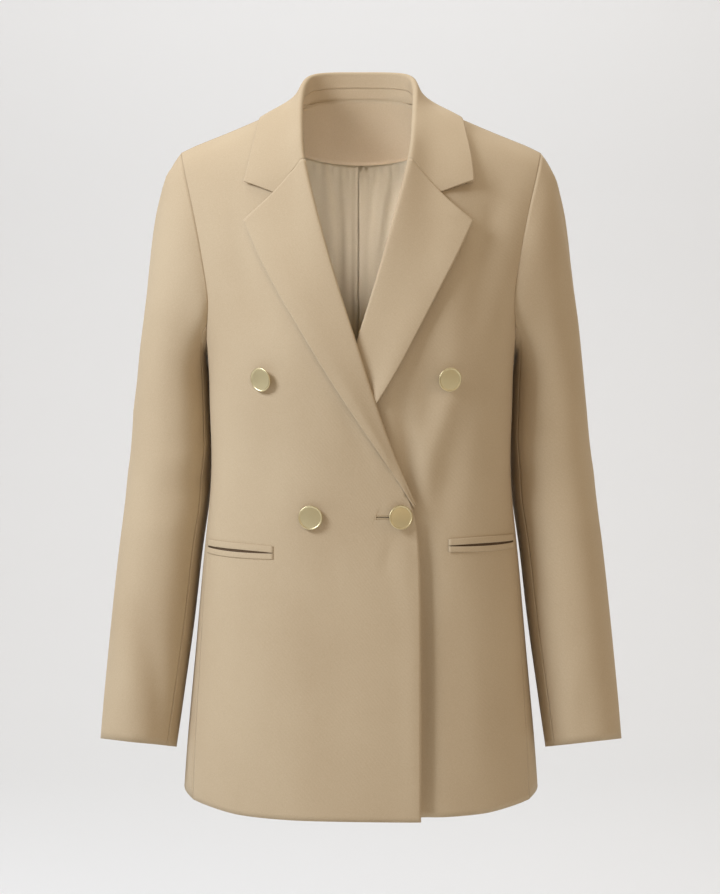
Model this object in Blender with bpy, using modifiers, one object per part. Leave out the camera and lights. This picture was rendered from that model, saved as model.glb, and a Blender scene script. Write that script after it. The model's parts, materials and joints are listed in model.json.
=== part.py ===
"""Double breasted blazer in camel suiting, filled out and hollow, with no wearer.

Metres, +Z up, -Y is the wearer's front and +X the wearer's left. The origin is the middle of
the wearer's neck base. Every cloth piece is a thin wall that lies on one shared form, so pieces
that meet at a seam have the same edge and stand a hair apart.

"Own side" coordinates are used for every mirrored piece: x grows from the centre towards the
piece's own arm, so the same functions cut the right and the left.
"""
import math
from bisect import bisect_left
from collections import namedtuple
from functools import lru_cache

import bmesh
import bpy
from mathutils import Matrix, Vector

# ---------------------------------------------------------------- driving sizes
SEAM_GAP = 0.0006            # between the edges of two pieces that are sewn together
LAYER_GAP = 0.0003           # between two pieces that lie on each other
INNER_GAP = 0.0007           # between a front and the cloth turned in behind it
NECK_CUT = 0.068             # own-side x of the front's neck edge under the collar
NECK_CUT_RUN = 0.014         # height over which the edge runs out to it from the gorge
CREST_LIFT = 0.0012          # the collar's extra height where it crosses the shoulder seam
GORGE_LIFT = 0.0008          # and where it covers the seam to the lapel
ROLL_CLEAR = 0.0020          # between a front's edge and the roll that goes round it
SUITING = 0.0015             # wall of the suiting
SATIN = 0.0010               # wall of the lining
WELT = 0.0011                # wall of a pocket welt

NECK_POINT = 0.066           # centre to the neck end of the shoulder seam
SHOULDER_FALL = 0.230        # height over which the chest and the back swell out of the shoulder
SHOULDER_ROUND = 0.6         # power of that swell, 0.5 is an ellipse
ROUNDNESS = 2.3              # superellipse power of the body's sections
SLEEVE_ROUNDNESS = 2.2       # and of the sleeve's

OVER_EDGE = -0.0595          # front edge of the upper front, own side
UNDER_EDGE = -0.0660         # front edge of the lower front, own side
OVER_RISE = 0.0026           # the upper front stands this far out where it laps over
UNDER_SINK = 0.0045          # and the lower front this far in
LAP_FULL = -0.070            # own-side x where the upper front's rise is complete
LAP_NONE = -0.098
SINK_FULL = 0.066
SINK_NONE = 0.096
UNCOVER = 0.014              # width over which the lower front's folds come out from under it
LAP_LOW = -0.205             # the lap fades out between these heights
LAP_HIGH = -0.120

TURN_LEG = 0.006             # cloth turned in behind the roll line
LEAF_HEIGHT = 0.0020         # middle of a lapel above its front
LEAF_LIFT = 0.0016           # extra height at a lapel's or a collar's corner

BUTTON_RADIUS = 0.0122
BUTTON_THICK = 0.0026
BUTTON_RIM = 0.0009
SHANK_RADIUS = 0.0015
SHANK_CLEAR = 0.0012         # from the cloth to the underside of the disc
BUTTONHOLE_LENGTH = 0.0245
BUTTONHOLE_WIDTH = 0.0012
EYELET_RADIUS = 0.00225

POCKET_INNER = 0.0880        # own-side x of the pocket's end towards the front
POCKET_OUTER_ANGLE = 75.0    # angle round the body of its other end
POCKET_SLIT = 0.0012
UPPER_WELT_WIDTH = 0.0066
LOWER_WELT_WIDTH = 0.0056

FACING_WALL = 0.0012
FACING_LOW = -0.0437         # lower edge of the back neck facing at the centre back
FACING_CURVE = 2.0           # metres of rise per square metre of x
CREST_CLEAR = 0.006          # inner layers stop this far below the shoulder seam
HEM_TURN = 0.014             # the lining ends this far above the hem

# ---------------------------------------------------------------- tables
# Body sections from the hem up: half width, y of the front and back at the centre,
# and y of the widest point.
Section = namedtuple("Section", "z half_width front back widest")
BODY = (
    Section(-0.740, 0.1870, -0.143, 0.117, -0.010),
    Section(-0.680, 0.1838, -0.138, 0.115, -0.012),
    Section(-0.620, 0.1785, -0.134, 0.111, -0.016),
    Section(-0.560, 0.1726, -0.130, 0.103, -0.020),
    Section(-0.500, 0.1672, -0.126, 0.094, -0.024),
    Section(-0.442, 0.1618, -0.123, 0.087, -0.028),
    Section(-0.400, 0.1568, -0.122, 0.084, -0.030),
    Section(-0.360, 0.1548, -0.123, 0.085, -0.030),
    Section(-0.300, 0.1572, -0.128, 0.091, -0.028),
    Section(-0.250, 0.1590, -0.130, 0.098, -0.022),
    Section(-0.200, 0.1700, -0.122, 0.102, -0.012),
    Section(-0.150, 0.1900, -0.114, 0.103, -0.004),
    Section(-0.100, 0.2080, -0.108, 0.100, 0.000),
    Section(-0.050, 0.2200, -0.105, 0.096, 0.000),
    Section(0.060, 0.2300, -0.103, 0.093, 0.000),
)

# Crest of the shoulders. Inside the neck point it is the crest that the form would have,
# above the neck seam.
Crest = namedtuple("Crest", "x y z")
RIDGE = (
    Crest(0.000, 0.020, 0.055),
    Crest(0.030, 0.018, 0.050),
    Crest(0.050, 0.014, 0.035),
    Crest(0.066, 0.010, 0.016),
    Crest(0.085, 0.009, 0.0078),
    Crest(0.104, 0.008, 0.0003),
    Crest(0.127, 0.007, -0.0098),
    Crest(0.153, 0.006, -0.0206),
    Crest(0.174, 0.006, -0.0290),
    Crest(0.1875, 0.006, -0.0355),
    Crest(0.215, 0.006, -0.0490),
)
NeckSeam = namedtuple("NeckSeam", "x z")
BACK_NECK = (
    NeckSeam(0.000, 0.0220),
    NeckSeam(0.030, 0.0205),
    NeckSeam(0.050, 0.0172),
    NeckSeam(0.066, 0.0160),
)

# Hem height round the body, from the front centre to the back centre.
HemPoint = namedtuple("HemPoint", "angle z")
HEM = (
    HemPoint(-60.0, -0.7090),
    HemPoint(-20.0, -0.7125),
    HemPoint(0.0, -0.7115),
    HemPoint(30.0, -0.7105),
    HemPoint(50.0, -0.7080),
    HemPoint(65.0, -0.7060),
    HemPoint(80.0, -0.7010),
    HemPoint(95.0, -0.6985),
    HemPoint(130.0, -0.6985),
    HemPoint(180.0, -0.7010),
)
UNDER_HEM_LIFT = 0.0025

# Seams between front, side panel and back, as angles round the body.
SideSeam = namedtuple("SideSeam", "z front_angle back_angle")
SIDE_SEAMS = (
    SideSeam(-0.720, 66.0, 117.0),
    SideSeam(-0.600, 70.5, 116.5),
    SideSeam(-0.500, 75.0, 116.0),
    SideSeam(-0.390, 79.5, 115.5),
    SideSeam(-0.200, 79.0, 115.5),
)

# Armhole, once round from the shoulder point by the front and the underarm to the back.
Armhole = namedtuple("Armhole", "turn angle z")
ARMHOLE = (
    Armhole(0.0, 56.5, -0.0355),
    Armhole(30.0, 54.6, -0.0640),
    Armhole(60.0, 54.2, -0.1050),
    Armhole(90.0, 57.0, -0.1500),
    Armhole(120.0, 63.5, -0.1920),
    Armhole(156.0, 79.0, -0.2310),
    Armhole(180.0, 92.0, -0.2460),
    Armhole(210.0, 106.0, -0.2370),
    Armhole(240.0, 115.5, -0.2030),
    Armhole(270.0, 120.5, -0.1580),
    Armhole(300.0, 123.0, -0.1120),
    Armhole(330.0, 124.2, -0.0680),
    Armhole(360.0, 123.5, -0.0355),
)
TURN_STEP = 12.0             # spacing of the points round the armhole
FRONT_JOIN = 156.0           # turn where the front meets the side panel
BACK_JOIN = 240.0            # turn where the side panel meets the back
FORE_SEAM = 144.0            # turn of the sleeve's front seam
HIND_SEAM = 264.0            # turn of the sleeve's back seam

# Sleeve sections from below the armhole to the cuff, own side.
Sleeve = namedtuple("Sleeve", "way z inner outer front back")
SLEEVE = (
    Sleeve(0.00, -0.275, 0.1575, 0.2350, -0.050, 0.078),
    Sleeve(0.15, -0.330, 0.1552, 0.2385, -0.053, 0.075),
    Sleeve(0.31, -0.390, 0.1572, 0.2455, -0.057, 0.066),
    Sleeve(0.45, -0.444, 0.1652, 0.2522, -0.062, 0.055),
    Sleeve(0.64, -0.517, 0.1728, 0.2592, -0.067, 0.041),
    Sleeve(0.85, -0.598, 0.1840, 0.2664, -0.070, 0.029),
    Sleeve(1.00, -0.652, 0.1912, 0.2710, -0.071, 0.021),
)
CUFF_TILT_ACROSS = 0.11      # the cuff rises towards the outside of the arm
CUFF_TILT_FORWARD = 0.17     # and towards the front
CAP_START = 0.62             # strength of the sleeve head's spring from the armhole
CAP_END = 1.0
CAP_WAY = Vector((0.72, -0.33, -0.62))

# Roll line from the centre back over the side of the neck (0 to 1, the collar) and down to
# where the lapel ends in the front edge (1 to 2). From station 1 on it lies on the front.
Roll = namedtuple("Roll", "station right left y z lean_x lean_y lean_z")
ROLL = (
    Roll(-0.20, -0.0300, -0.0295, 0.0495, 0.0530, -0.50, 1.00, 0.0),
    Roll(0.00, 0.0000, 0.0000, 0.0520, 0.0533, 0.00, 1.00, 0.00),
    Roll(0.20, 0.0300, 0.0295, 0.0495, 0.0530, 0.50, 1.00, 0.05),
    Roll(0.40, 0.0525, 0.0510, 0.0375, 0.0490, 0.90, 0.60, 0.10),
    Roll(0.55, 0.0605, 0.0570, 0.0170, 0.0370, 1.00, 0.10, 0.20),
    Roll(0.70, 0.0620, 0.0555, -0.0140, 0.0150, 0.90, -0.40, 0.40),
    Roll(0.85, 0.0603, 0.0522, -0.0450, -0.0170, 0.45, -0.80, 0.55),
    Roll(1.00, 0.0573, 0.0480, -0.0690, -0.0497, 0.10, -0.86, 0.50),
    Roll(1.15, 0.0433, 0.0333, -0.0950, -0.1080, 0.0, -1.0, 0.2),
    Roll(1.30, 0.0280, 0.0180, -0.1050, -0.1640, 0.0, -1.0, 0.1),
    Roll(1.45, 0.0090, -0.0005, -0.1150, -0.2240, 0.0, -1.0, 0.0),
    Roll(1.65, -0.0150, -0.0245, -0.1270, -0.2990, 0.0, -1.0, 0.0),
    Roll(1.83, -0.0389, -0.0470, -0.1220, -0.3640, 0.0, -1.0, 0.0),
    Roll(1.91, -0.0529, -0.0570, -0.1210, -0.3920, 0.0, -1.0, 0.0),
    Roll(2.00, -0.0578, -0.0650, -0.1210, -0.4240, 0.0, -1.0, 0.0),
)
ROLL_RADIUS_COLLAR = 0.0032
ROLL_RADIUS_LOW = 0.0019
BREAK_STATION = 1.93         # where the lapel begins

# Collar: outer edge and neck seam by station, as own-side x and drop from the shoulder's
# crest, to the back when negative.
Collar = namedtuple("Collar", "station edge_x edge_drop neck_x neck_drop")
COLLAR = (
    Collar(-0.20, -0.044, -0.037, -0.0270, -0.0301),
    Collar(0.00, 0.000, -0.050, 0.0000, -0.0330),
    Collar(0.20, 0.044, -0.037, 0.0270, -0.0301),
    Collar(0.40, 0.083, -0.009, 0.0470, -0.0190),
    Collar(0.55, 0.103, 0.000, 0.0600, -0.0060),
    Collar(0.70, 0.1085, 0.020, 0.0674, 0.0090),
    Collar(0.85, 0.1135, 0.041, 0.0670, 0.0350),
    Collar(1.00, 0.1180, 0.062, 0.0640, 0.0690),
)
GORGE_NOTCH = {"right": (0.0869, -0.0836), "left": (0.0786, -0.0836)}
COLLAR_POINT = {"right": (0.1190, -0.0725), "left": (0.1140, -0.0715)}
LAPEL_POINT = {"right": (0.1188, -0.1130), "left": (0.1126, -0.1140)}
NOTCH_SHARE = 0.48           # share of the lapel's top edge that is sewn to the collar

# Free edge of each lapel, from the front edge up to its point.
LapelEdge = namedtuple("LapelEdge", "z right left")
LAPEL_EDGE = (
    LapelEdge(-0.4020, -0.0530, -0.0560),
    LapelEdge(-0.3737, -0.0359, -0.0370),
    LapelEdge(-0.3340, -0.0090, -0.0110),
    LapelEdge(-0.2890, 0.0210, 0.0210),
    LapelEdge(-0.2240, 0.0610, 0.0570),
    LapelEdge(-0.1550, 0.1000, 0.0930),
    LapelEdge(-0.1130, 0.1188, 0.1126),
)

# Soft folds in the fronts: a ridge (positive) or trough between two points, own side.
Fold = namedtuple("Fold", "side x0 z0 x1 z1 width height")
FOLDS = (
    Fold("left", 0.034, -0.300, 0.055, -0.400, 0.016, 0.0050),
    Fold("left", 0.066, -0.290, 0.080, -0.370, 0.022, -0.0035),
    Fold("left", 0.135, -0.095, 0.115, -0.200, 0.020, -0.0040),
    Fold("right", 0.020, -0.310, 0.060, -0.400, 0.022, 0.0025),
    Fold("right", 0.130, -0.100, 0.115, -0.190, 0.018, -0.0022),
    Fold("left", 0.100, -0.560, 0.108, -0.680, 0.028, -0.0035),
)

# Colours of the cloth and the metal, linear.
CAMEL = (0.50, 0.40, 0.27)
LINING_BEIGE = (0.44, 0.37, 0.27)
GOLD = (0.62, 0.50, 0.27)


# ---------------------------------------------------------------- reading tables
@lru_cache(maxsize=None)
def curve_of(table, key, column):
    """Keys, values and slopes of a table's column."""
    keys = [getattr(row, key) for row in table]
    values = [getattr(row, column) for row in table]
    last = len(table) - 1
    slopes = []
    for index in range(len(table)):
        before = max(index - 1, 0)
        after = min(index + 1, last)
        slopes.append((values[after] - values[before]) / (keys[after] - keys[before]))
    return keys, values, slopes


def smooth_row(table, key, at, column):
    """Value of a column at a place along the key column, on a smooth curve through the rows."""
    keys, values, slopes = curve_of(table, key, column)
    upper = min(max(bisect_left(keys, at), 1), len(keys) - 1)
    lower = upper - 1
    step = keys[upper] - keys[lower]
    share = (at - keys[lower]) / step
    rise_in = slopes[lower] * step
    rise_out = slopes[upper] * step
    if share < 0.0:
        return values[lower] + rise_in * share
    if share > 1.0:
        return values[upper] + rise_out * (share - 1.0)
    square = share * share
    cube = square * share
    return (values[lower] * (2 * cube - 3 * square + 1) + rise_in * (cube - 2 * square + share)
            + values[upper] * (3 * square - 2 * cube) + rise_out * (cube - square))


def blend(start, end, share):
    return start + (end - start) * share


def ease(low, high, value):
    """0 below low, 1 above high, smooth between."""
    share = min(max((value - low) / (high - low), 0.0), 1.0)
    return share * share * (3.0 - 2.0 * share)


def spaced(stops, share):
    """Place among unevenly spaced stops, counted evenly from 0 to 1."""
    count = len(stops) - 1
    index = min(max(int(share * count), 0), count - 1)
    return blend(stops[index], stops[index + 1], share * count - index)


def stretch(value, power):
    return math.copysign(abs(value) ** power, value)


# ---------------------------------------------------------------- the body's form
def ridge(x, column):
    return smooth_row(RIDGE, "x", abs(x), column)


def body(z, column):
    return smooth_row(BODY, "z", z, column)


def swell(x, z):
    """How far the form has come from the shoulder's crest, 0, to the body's section, 1."""
    share = min(max((ridge(x, "z") - z) / SHOULDER_FALL, 0.0), 1.0)
    return (1.0 - (1.0 - share) ** 2) ** SHOULDER_ROUND


def form_at(x, z, ring_y):
    return Vector((x, blend(ridge(x, "y"), ring_y, swell(x, z)), z))


def form_by_angle(angle, z):
    """Point of the form: angle in degrees from the front centre round the own side to the back."""
    turn = math.radians(angle)
    x = body(z, "half_width") * stretch(math.sin(turn), 2.0 / ROUNDNESS)
    flat = abs(math.cos(turn)) ** (2.0 / ROUNDNESS)
    far = body(z, "front") if math.cos(turn) >= 0.0 else body(z, "back")
    return form_at(x, z, blend(body(z, "widest"), far, flat))


def angle_of(x, z):
    """Angle on the front for an own-side x."""
    share = min(abs(x) / body(z, "half_width"), 0.9999)
    return math.copysign(math.degrees(math.asin(share ** (ROUNDNESS / 2.0))), x)


def form_by_x(x, z, back=False):
    angle = angle_of(x, z)
    return form_by_angle(180.0 - angle if back else angle, z)


def form_by_drop(x, drop):
    """Point by its drop below the shoulder's crest, to the back when negative."""
    return form_by_x(x, ridge(x, "z") - abs(drop), back=drop < 0.0)


def surface_normal(point_at, u, v, step):
    """Unit normal of a two-way function of position."""
    across = point_at(u + step, v) - point_at(u - step, v)
    along = point_at(u, v + step) - point_at(u, v - step)
    return across.cross(along).normalized()


def drop_normal(x, drop):
    """Outward normal of the form by x and drop."""
    step = 0.0006
    across = form_by_drop(x + step, drop) - form_by_drop(x - step, drop)
    along = form_by_drop(x, drop + step) - form_by_drop(x, drop - step)
    return along.cross(across).normalized()


# ---------------------------------------------------------------- the fronts
def fold_depth(side, x, z):
    """Height of the soft folds at a place on a front."""
    total = 0.0
    for fold in FOLDS:
        if fold.side != side:
            continue
        run_x = fold.x1 - fold.x0
        run_z = fold.z1 - fold.z0
        length = math.hypot(run_x, run_z)
        along = ((x - fold.x0) * run_x + (z - fold.z0) * run_z) / length
        across = ((x - fold.x0) * run_z - (z - fold.z0) * run_x) / length
        past_end = max(-along, along - length, 0.0)
        total += fold.height * math.exp(-(across / fold.width) ** 2
                                        - (past_end / (2.0 * fold.width)) ** 2)
    if total and side == "left":
        covered_to = -front_edge_x("right", z)
        total *= ease(covered_to, covered_to + UNCOVER, x)
    return total


def lap_height(side, x, z):
    """How far a front stands out of the form: the right laps over the left."""
    fade = 1.0 - ease(LAP_LOW, LAP_HIGH, z)
    if side == "right":
        return OVER_RISE * ease(LAP_NONE, LAP_FULL, -x) * fade
    return -UNDER_SINK * (1.0 - ease(SINK_FULL, SINK_NONE, x)) * fade


def front_at(side, x, z, height=0.0):
    """Point on a front's outer face, or a height above it."""
    point = form_by_x(x, z)
    point.y -= lap_height(side, x, z) + fold_depth(side, x, z)
    if height == 0.0:
        return point
    step = 0.0006
    across = front_at(side, x + step, z) - front_at(side, x - step, z)
    upward = front_at(side, x, z + step) - front_at(side, x, z - step)
    return point + across.cross(upward).normalized() * height


def roll(side, station, column):
    if column == "x":
        column = side
    return smooth_row(ROLL, "station", station, column)


def roll_radius(station):
    return blend(ROLL_RADIUS_COLLAR, ROLL_RADIUS_LOW, ease(1.0, 1.45, station))


def front_edge_x(side, z):
    """Own-side x of the front's inner edge: neck seam, roll line and front edge."""
    lowest = OVER_EDGE if side == "right" else UNDER_EDGE
    gorge_z = roll(side, 1.0, "z")
    if z > gorge_z:
        inside = roll(side, 1.0, "x") + roll_radius(1.0) + ROLL_CLEAR
        under_collar = blend(inside, NECK_CUT, ease(gorge_z, gorge_z + NECK_CUT_RUN, z))
        return blend(under_collar, NECK_POINT, ease(-0.5 * NECK_CUT_RUN, crest_z(NECK_POINT), z))
    station = station_at(z)
    if station >= 2.0:
        return blend(roll(side, 2.0, "x"), lowest, ease(0.0, 0.06, -(z - roll(side, 2.0, "z"))))
    turned = 1.0 - ease(BREAK_STATION, BREAK_STATION + 0.03, station)
    return roll(side, station, "x") + turned * (roll_radius(station) + ROLL_CLEAR)


def station_at(z):
    """Station of the roll line at a height below the gorge."""
    low, high = 1.0, 2.0
    if z < smooth_row(ROLL, "station", high, "z"):
        return high
    for _ in range(24):
        middle = 0.5 * (low + high)
        if smooth_row(ROLL, "station", middle, "z") > z:
            low = middle
        else:
            high = middle
    return 0.5 * (low + high)


# ---------------------------------------------------------------- armhole and sleeve
def armhole(turn, column):
    return smooth_row(ARMHOLE, "turn", turn, column)


def armhole_point(turn):
    turn = turn % 360.0
    angle = armhole(turn, "angle")
    z = armhole(turn, "z")
    point = form_by_angle(angle, z)
    crest = ridge(point.x, "z")
    if z > crest:
        point = form_by_angle(angle, crest)
    return point


def sleeve_ring(turn, way):
    """Point round the sleeve below the armhole: 0 is the outside, 90 the front."""
    inner = smooth_row(SLEEVE, "way", way, "inner")
    outer = smooth_row(SLEEVE, "way", way, "outer")
    front = smooth_row(SLEEVE, "way", way, "front")
    back = smooth_row(SLEEVE, "way", way, "back")
    angle = math.radians(turn)
    power = 2.0 / SLEEVE_ROUNDNESS
    half_x = 0.5 * (outer - inner)
    half_y = 0.5 * (back - front)
    off_x = half_x * stretch(math.cos(angle), power)
    off_y = -half_y * stretch(math.sin(angle), power)
    tilt = ease(0.0, 1.0, way) * (CUFF_TILT_ACROSS * off_x - CUFF_TILT_FORWARD * off_y)
    z = smooth_row(SLEEVE, "way", way, "z") + tilt
    return Vector((0.5 * (outer + inner) + off_x, 0.5 * (front + back) + off_y, z))


def sleeve_cap(turn, share):
    """Point of the sleeve head, from the armhole, 0, to the first full ring, 1."""
    start = armhole_point(turn)
    end = sleeve_ring(turn, 0.0)
    reach = (end - start).length
    spring = Vector((CAP_WAY.x, CAP_WAY.y * math.sin(math.radians(turn)), CAP_WAY.z)).normalized()
    down = (sleeve_ring(turn, 0.04) - end).normalized()
    rise_in = spring * reach * CAP_START
    rise_out = down * reach * CAP_END
    square = share * share
    cube = square * share
    return (start * (2 * cube - 3 * square + 1) + rise_in * (cube - 2 * square + share)
            + end * (3 * square - 2 * cube) + rise_out * (cube - square))


CAP_ROWS = 7
ARM_ROWS = 11
CAP_SHARE = CAP_ROWS / (CAP_ROWS + ARM_ROWS)


def sleeve_point(turn, share):
    """Point of the whole sleeve, from the armhole, 0, to the cuff, 1."""
    if share <= CAP_SHARE:
        return sleeve_cap(turn, share / CAP_SHARE)
    return sleeve_ring(turn, (share - CAP_SHARE) / (1.0 - CAP_SHARE))


def armhole_normal(turn):
    """Shared direction of the wall at the armhole, between the body's and the sleeve's."""
    step = 0.5
    if 1.0 < turn % 360.0 < 359.0:
        angle = armhole(turn % 360.0, "angle")
        z = armhole(turn % 360.0, "z")
        around = form_by_angle(angle + step, z) - form_by_angle(angle - step, z)
        upward = form_by_angle(angle, z + 0.0006) - form_by_angle(angle, z - 0.0006)
        of_body = around.cross(upward).normalized()
    else:
        of_body = drop_normal(armhole_point(0.0).x, 0.0)
    along = sleeve_cap(turn, 0.03) - sleeve_cap(turn, 0.0)
    around = sleeve_cap(turn + 1.0, 0.03) - sleeve_cap(turn - 1.0, 0.03)
    of_sleeve = around.cross(along).normalized()
    return (of_body + of_sleeve).normalized()


# ---------------------------------------------------------------- collar and lapel sections
LEG_END = 0.3                # along a section: leg, turn and leaf
TURN_END = 0.5


def roll_point(side, station):
    x = roll(side, station, "x")
    z = roll(side, station, "z")
    y = roll(side, station, "y")
    on_front = ease(0.80, 1.0, station)
    if on_front == 0.0:
        return Vector((x, y, z))
    middle = roll_radius(station) - SUITING - INNER_GAP - 0.5 * SUITING
    surface = front_at(side, x, z, middle)
    return Vector((x, y, z)).lerp(surface, on_front)


def roll_frame(side, station):
    """Crest of the roll, the way from it to the free edge, and the way out of the garment."""
    step = 0.02
    crest = roll_point(side, station)
    along = (roll_point(side, station + step) - roll_point(side, station - step)).normalized()
    lean = Vector([roll(side, station, column) for column in ("lean_x", "lean_y", "lean_z")])
    on_front = ease(0.85, 1.0, station)
    if on_front > 0.0:
        above = front_at(side, crest.x, crest.z, 0.001) - front_at(side, crest.x, crest.z)
        lean = lean.normalized().lerp(above.normalized(), on_front)
    outward = (lean - along * lean.dot(along)).normalized()
    return crest, outward.cross(along), outward


def stand_clear(side, point, height):
    """The point, moved out where it is nearer than a height to the body."""
    drop = ridge(point.x, "z") - point.z
    if drop <= 0.0:
        short = height + drop - 0.5 * abs(point.y - ridge(point.x, "y"))
        return point + Vector((0.0, 0.0, max(short, 0.0)))
    if point.y > ridge(point.x, "y"):
        base = form_by_x(point.x, point.z, back=True)
        normal = drop_normal(point.x, -drop)
    else:
        base = front_at(side, point.x, point.z)
        normal = drop_normal(point.x, drop)
    return point + normal * max(height - (point - base).dot(normal), 0.0)


def bezier(first, second, third, share):
    return first.lerp(second, share).lerp(second.lerp(third, share), share)


def turned_cloth(side, station, place, neck_end, leaf_end):
    """Section across the roll: a leg inside, the turn over the crest, and the leaf outside."""
    radius = roll_radius(station)
    crest, edgeward, outward = roll_frame(side, station)
    if place < LEG_END:
        inside = crest + (edgeward - outward) * radius
        foot = neck_end
        if foot is None:
            foot = crest + edgeward * TURN_LEG - outward * radius
        elbow = inside + edgeward * (0.5 * (foot - inside).length)
        return bezier(foot, elbow, inside, place / LEG_END)
    if place < TURN_END:
        angle = math.pi * ((place - LEG_END) / (TURN_END - LEG_END) - 0.5)
        return (crest + edgeward * radius * (1.0 - math.cos(angle))
                + outward * radius * math.sin(angle))
    share = (place - TURN_END) / (1.0 - TURN_END)
    outside = crest + (edgeward + outward) * radius
    return leaf_end(share, outside)


def leaf_height(station, share, lift):
    """Middle of the leaf above the front, from the roll to the free edge."""
    start = 2.0 * roll_radius(station) - SUITING - INNER_GAP - 0.5 * SUITING
    return LEAF_HEIGHT + (start - LEAF_HEIGHT) * (1.0 - share) ** 3 + lift * share ** 3


def lapel_section(side, rise, place):
    """Lapel: rise is 0 at the front edge and 1 at the gorge."""
    station = blend(BREAK_STATION, 1.0, rise)
    crest, edgeward, _ = roll_frame(side, station)
    start_x = crest.x + edgeward.x * roll_radius(station)
    start_z = crest.z + edgeward.z * roll_radius(station)
    end_z = blend(LAPEL_EDGE[0].z, LAPEL_POINT[side][1], rise)
    end_x = smooth_row(LAPEL_EDGE, "z", end_z, side)
    notch_x, notch_z = GORGE_NOTCH[side]
    gorge = max(rise - 0.85, 0.0) / 0.15

    def leaf(share, outside):
        x = blend(start_x, end_x, share)
        z = blend(start_z, end_z, share)
        bend = min(share / NOTCH_SHARE, (1.0 - share) / (1.0 - NOTCH_SHARE))
        x += (notch_x - blend(start_x, end_x, NOTCH_SHARE)) * bend * gorge
        z += (notch_z - blend(start_z, end_z, NOTCH_SHARE)) * bend * gorge
        lift = LEAF_LIFT * ease(0.55, 1.0, rise)
        point = front_at(side, x, z, leaf_height(station, share, lift))
        first = front_at(side, start_x, start_z, leaf_height(station, 0.0, lift))
        return point + (outside - first) * (1.0 - share) ** 2

    return turned_cloth(side, station, place, None, leaf)


def collar_section(side, station, place):
    """Collar and stand: station is 0 at the centre back and 1 at the gorge."""
    edge_x = smooth_row(COLLAR, "station", station, "edge_x")
    edge_drop = smooth_row(COLLAR, "station", station, "edge_drop")
    neck_x = smooth_row(COLLAR, "station", station, "neck_x")
    neck_drop = smooth_row(COLLAR, "station", station, "neck_drop")
    crest, edgeward, outward = roll_frame(side, station)
    radius = roll_radius(station)
    inner_layer = 0.5 * SUITING + (SUITING + INNER_GAP) * ease(0.45, 0.62, station)
    neck = form_by_drop(neck_x, neck_drop) - drop_normal(neck_x, neck_drop) * inner_layer
    neck.z += 2.0 * SEAM_GAP
    free = crest + edgeward * TURN_LEG - outward * radius
    neck = neck.lerp(free, ease(0.72, 1.0, station))

    start_x = crest.x + edgeward.x * radius
    start_z = crest.z + edgeward.z * radius
    point_x, point_z = COLLAR_POINT[side]
    on_front = ease(0.60, 0.90, station)
    notch = max(station - 0.80, 0.0) / 0.20
    notch_x, notch_z = GORGE_NOTCH[side]

    def leaf(share, outside):
        height = LEAF_HEIGHT + 0.5 * SUITING
        end = form_by_drop(edge_x, edge_drop) + drop_normal(edge_x, edge_drop) * height
        reach = (end - outside).length
        rise_in = edgeward * reach
        rise_out = (end - outside) * 0.9
        square = share * share
        cube = square * share
        hung = (outside * (2 * cube - 3 * square + 1) + rise_in * (cube - 2 * square + share)
                + end * (3 * square - 2 * cube) + rise_out * (cube - square))
        over_crest = 1.0 - ease(0.0, 0.22, abs(station - 0.52))
        over_gorge = ease(0.82, 0.92, station)
        height = LEAF_HEIGHT + CREST_LIFT * over_crest + GORGE_LIFT * over_gorge
        height *= ease(0.0, 0.14, share)
        if on_front == 0.0:
            return stand_clear(side, hung, height) if share > 0.04 else hung
        end_x = blend(edge_x, point_x, ease(0.8, 1.0, station))
        end_z = blend(ridge(edge_x, "z") - edge_drop, point_z, ease(0.8, 1.0, station))
        x = blend(start_x, end_x, share)
        z = blend(start_z, end_z, share)
        bend = min(share / NOTCH_SHARE, (1.0 - share) / (1.0 - NOTCH_SHARE))
        x += (notch_x - blend(start_x, end_x, NOTCH_SHARE)) * bend * notch
        z += (notch_z - blend(start_z, end_z, NOTCH_SHARE)) * bend * notch
        lift = LEAF_LIFT * ease(0.8, 1.0, station)
        laid = front_at(side, x, z, leaf_height(station, share, lift))
        first = front_at(side, start_x, start_z, leaf_height(station, 0.0, lift))
        laid += (outside - first) * (1.0 - share) ** 2
        point = hung.lerp(laid, on_front)
        return stand_clear(side, point, height) if share > 0.04 else point

    return turned_cloth(side, station, place, neck, leaf)


# ---------------------------------------------------------------- making cloth
def make_material(name, colour, roughness, metallic=0.0):
    material = bpy.data.materials.new(name)
    material.use_nodes = True
    shader = material.node_tree.nodes["Principled BSDF"]
    shader.inputs["Base Color"].default_value = (*colour, 1.0)
    shader.inputs["Roughness"].default_value = roughness
    shader.inputs["Metallic"].default_value = metallic
    material.diffuse_color = (*colour, 1.0)
    return material


def add_object(name, shape, material, collection):
    mesh = bpy.data.meshes.new(name)
    shape.to_mesh(mesh)
    shape.free()
    mesh.materials.append(material)
    mesh.shade_smooth()
    mesh.set_sharp_from_angle(angle=math.radians(40.0))
    part = bpy.data.objects.new(name, mesh)
    collection.objects.link(part)
    return part


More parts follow.
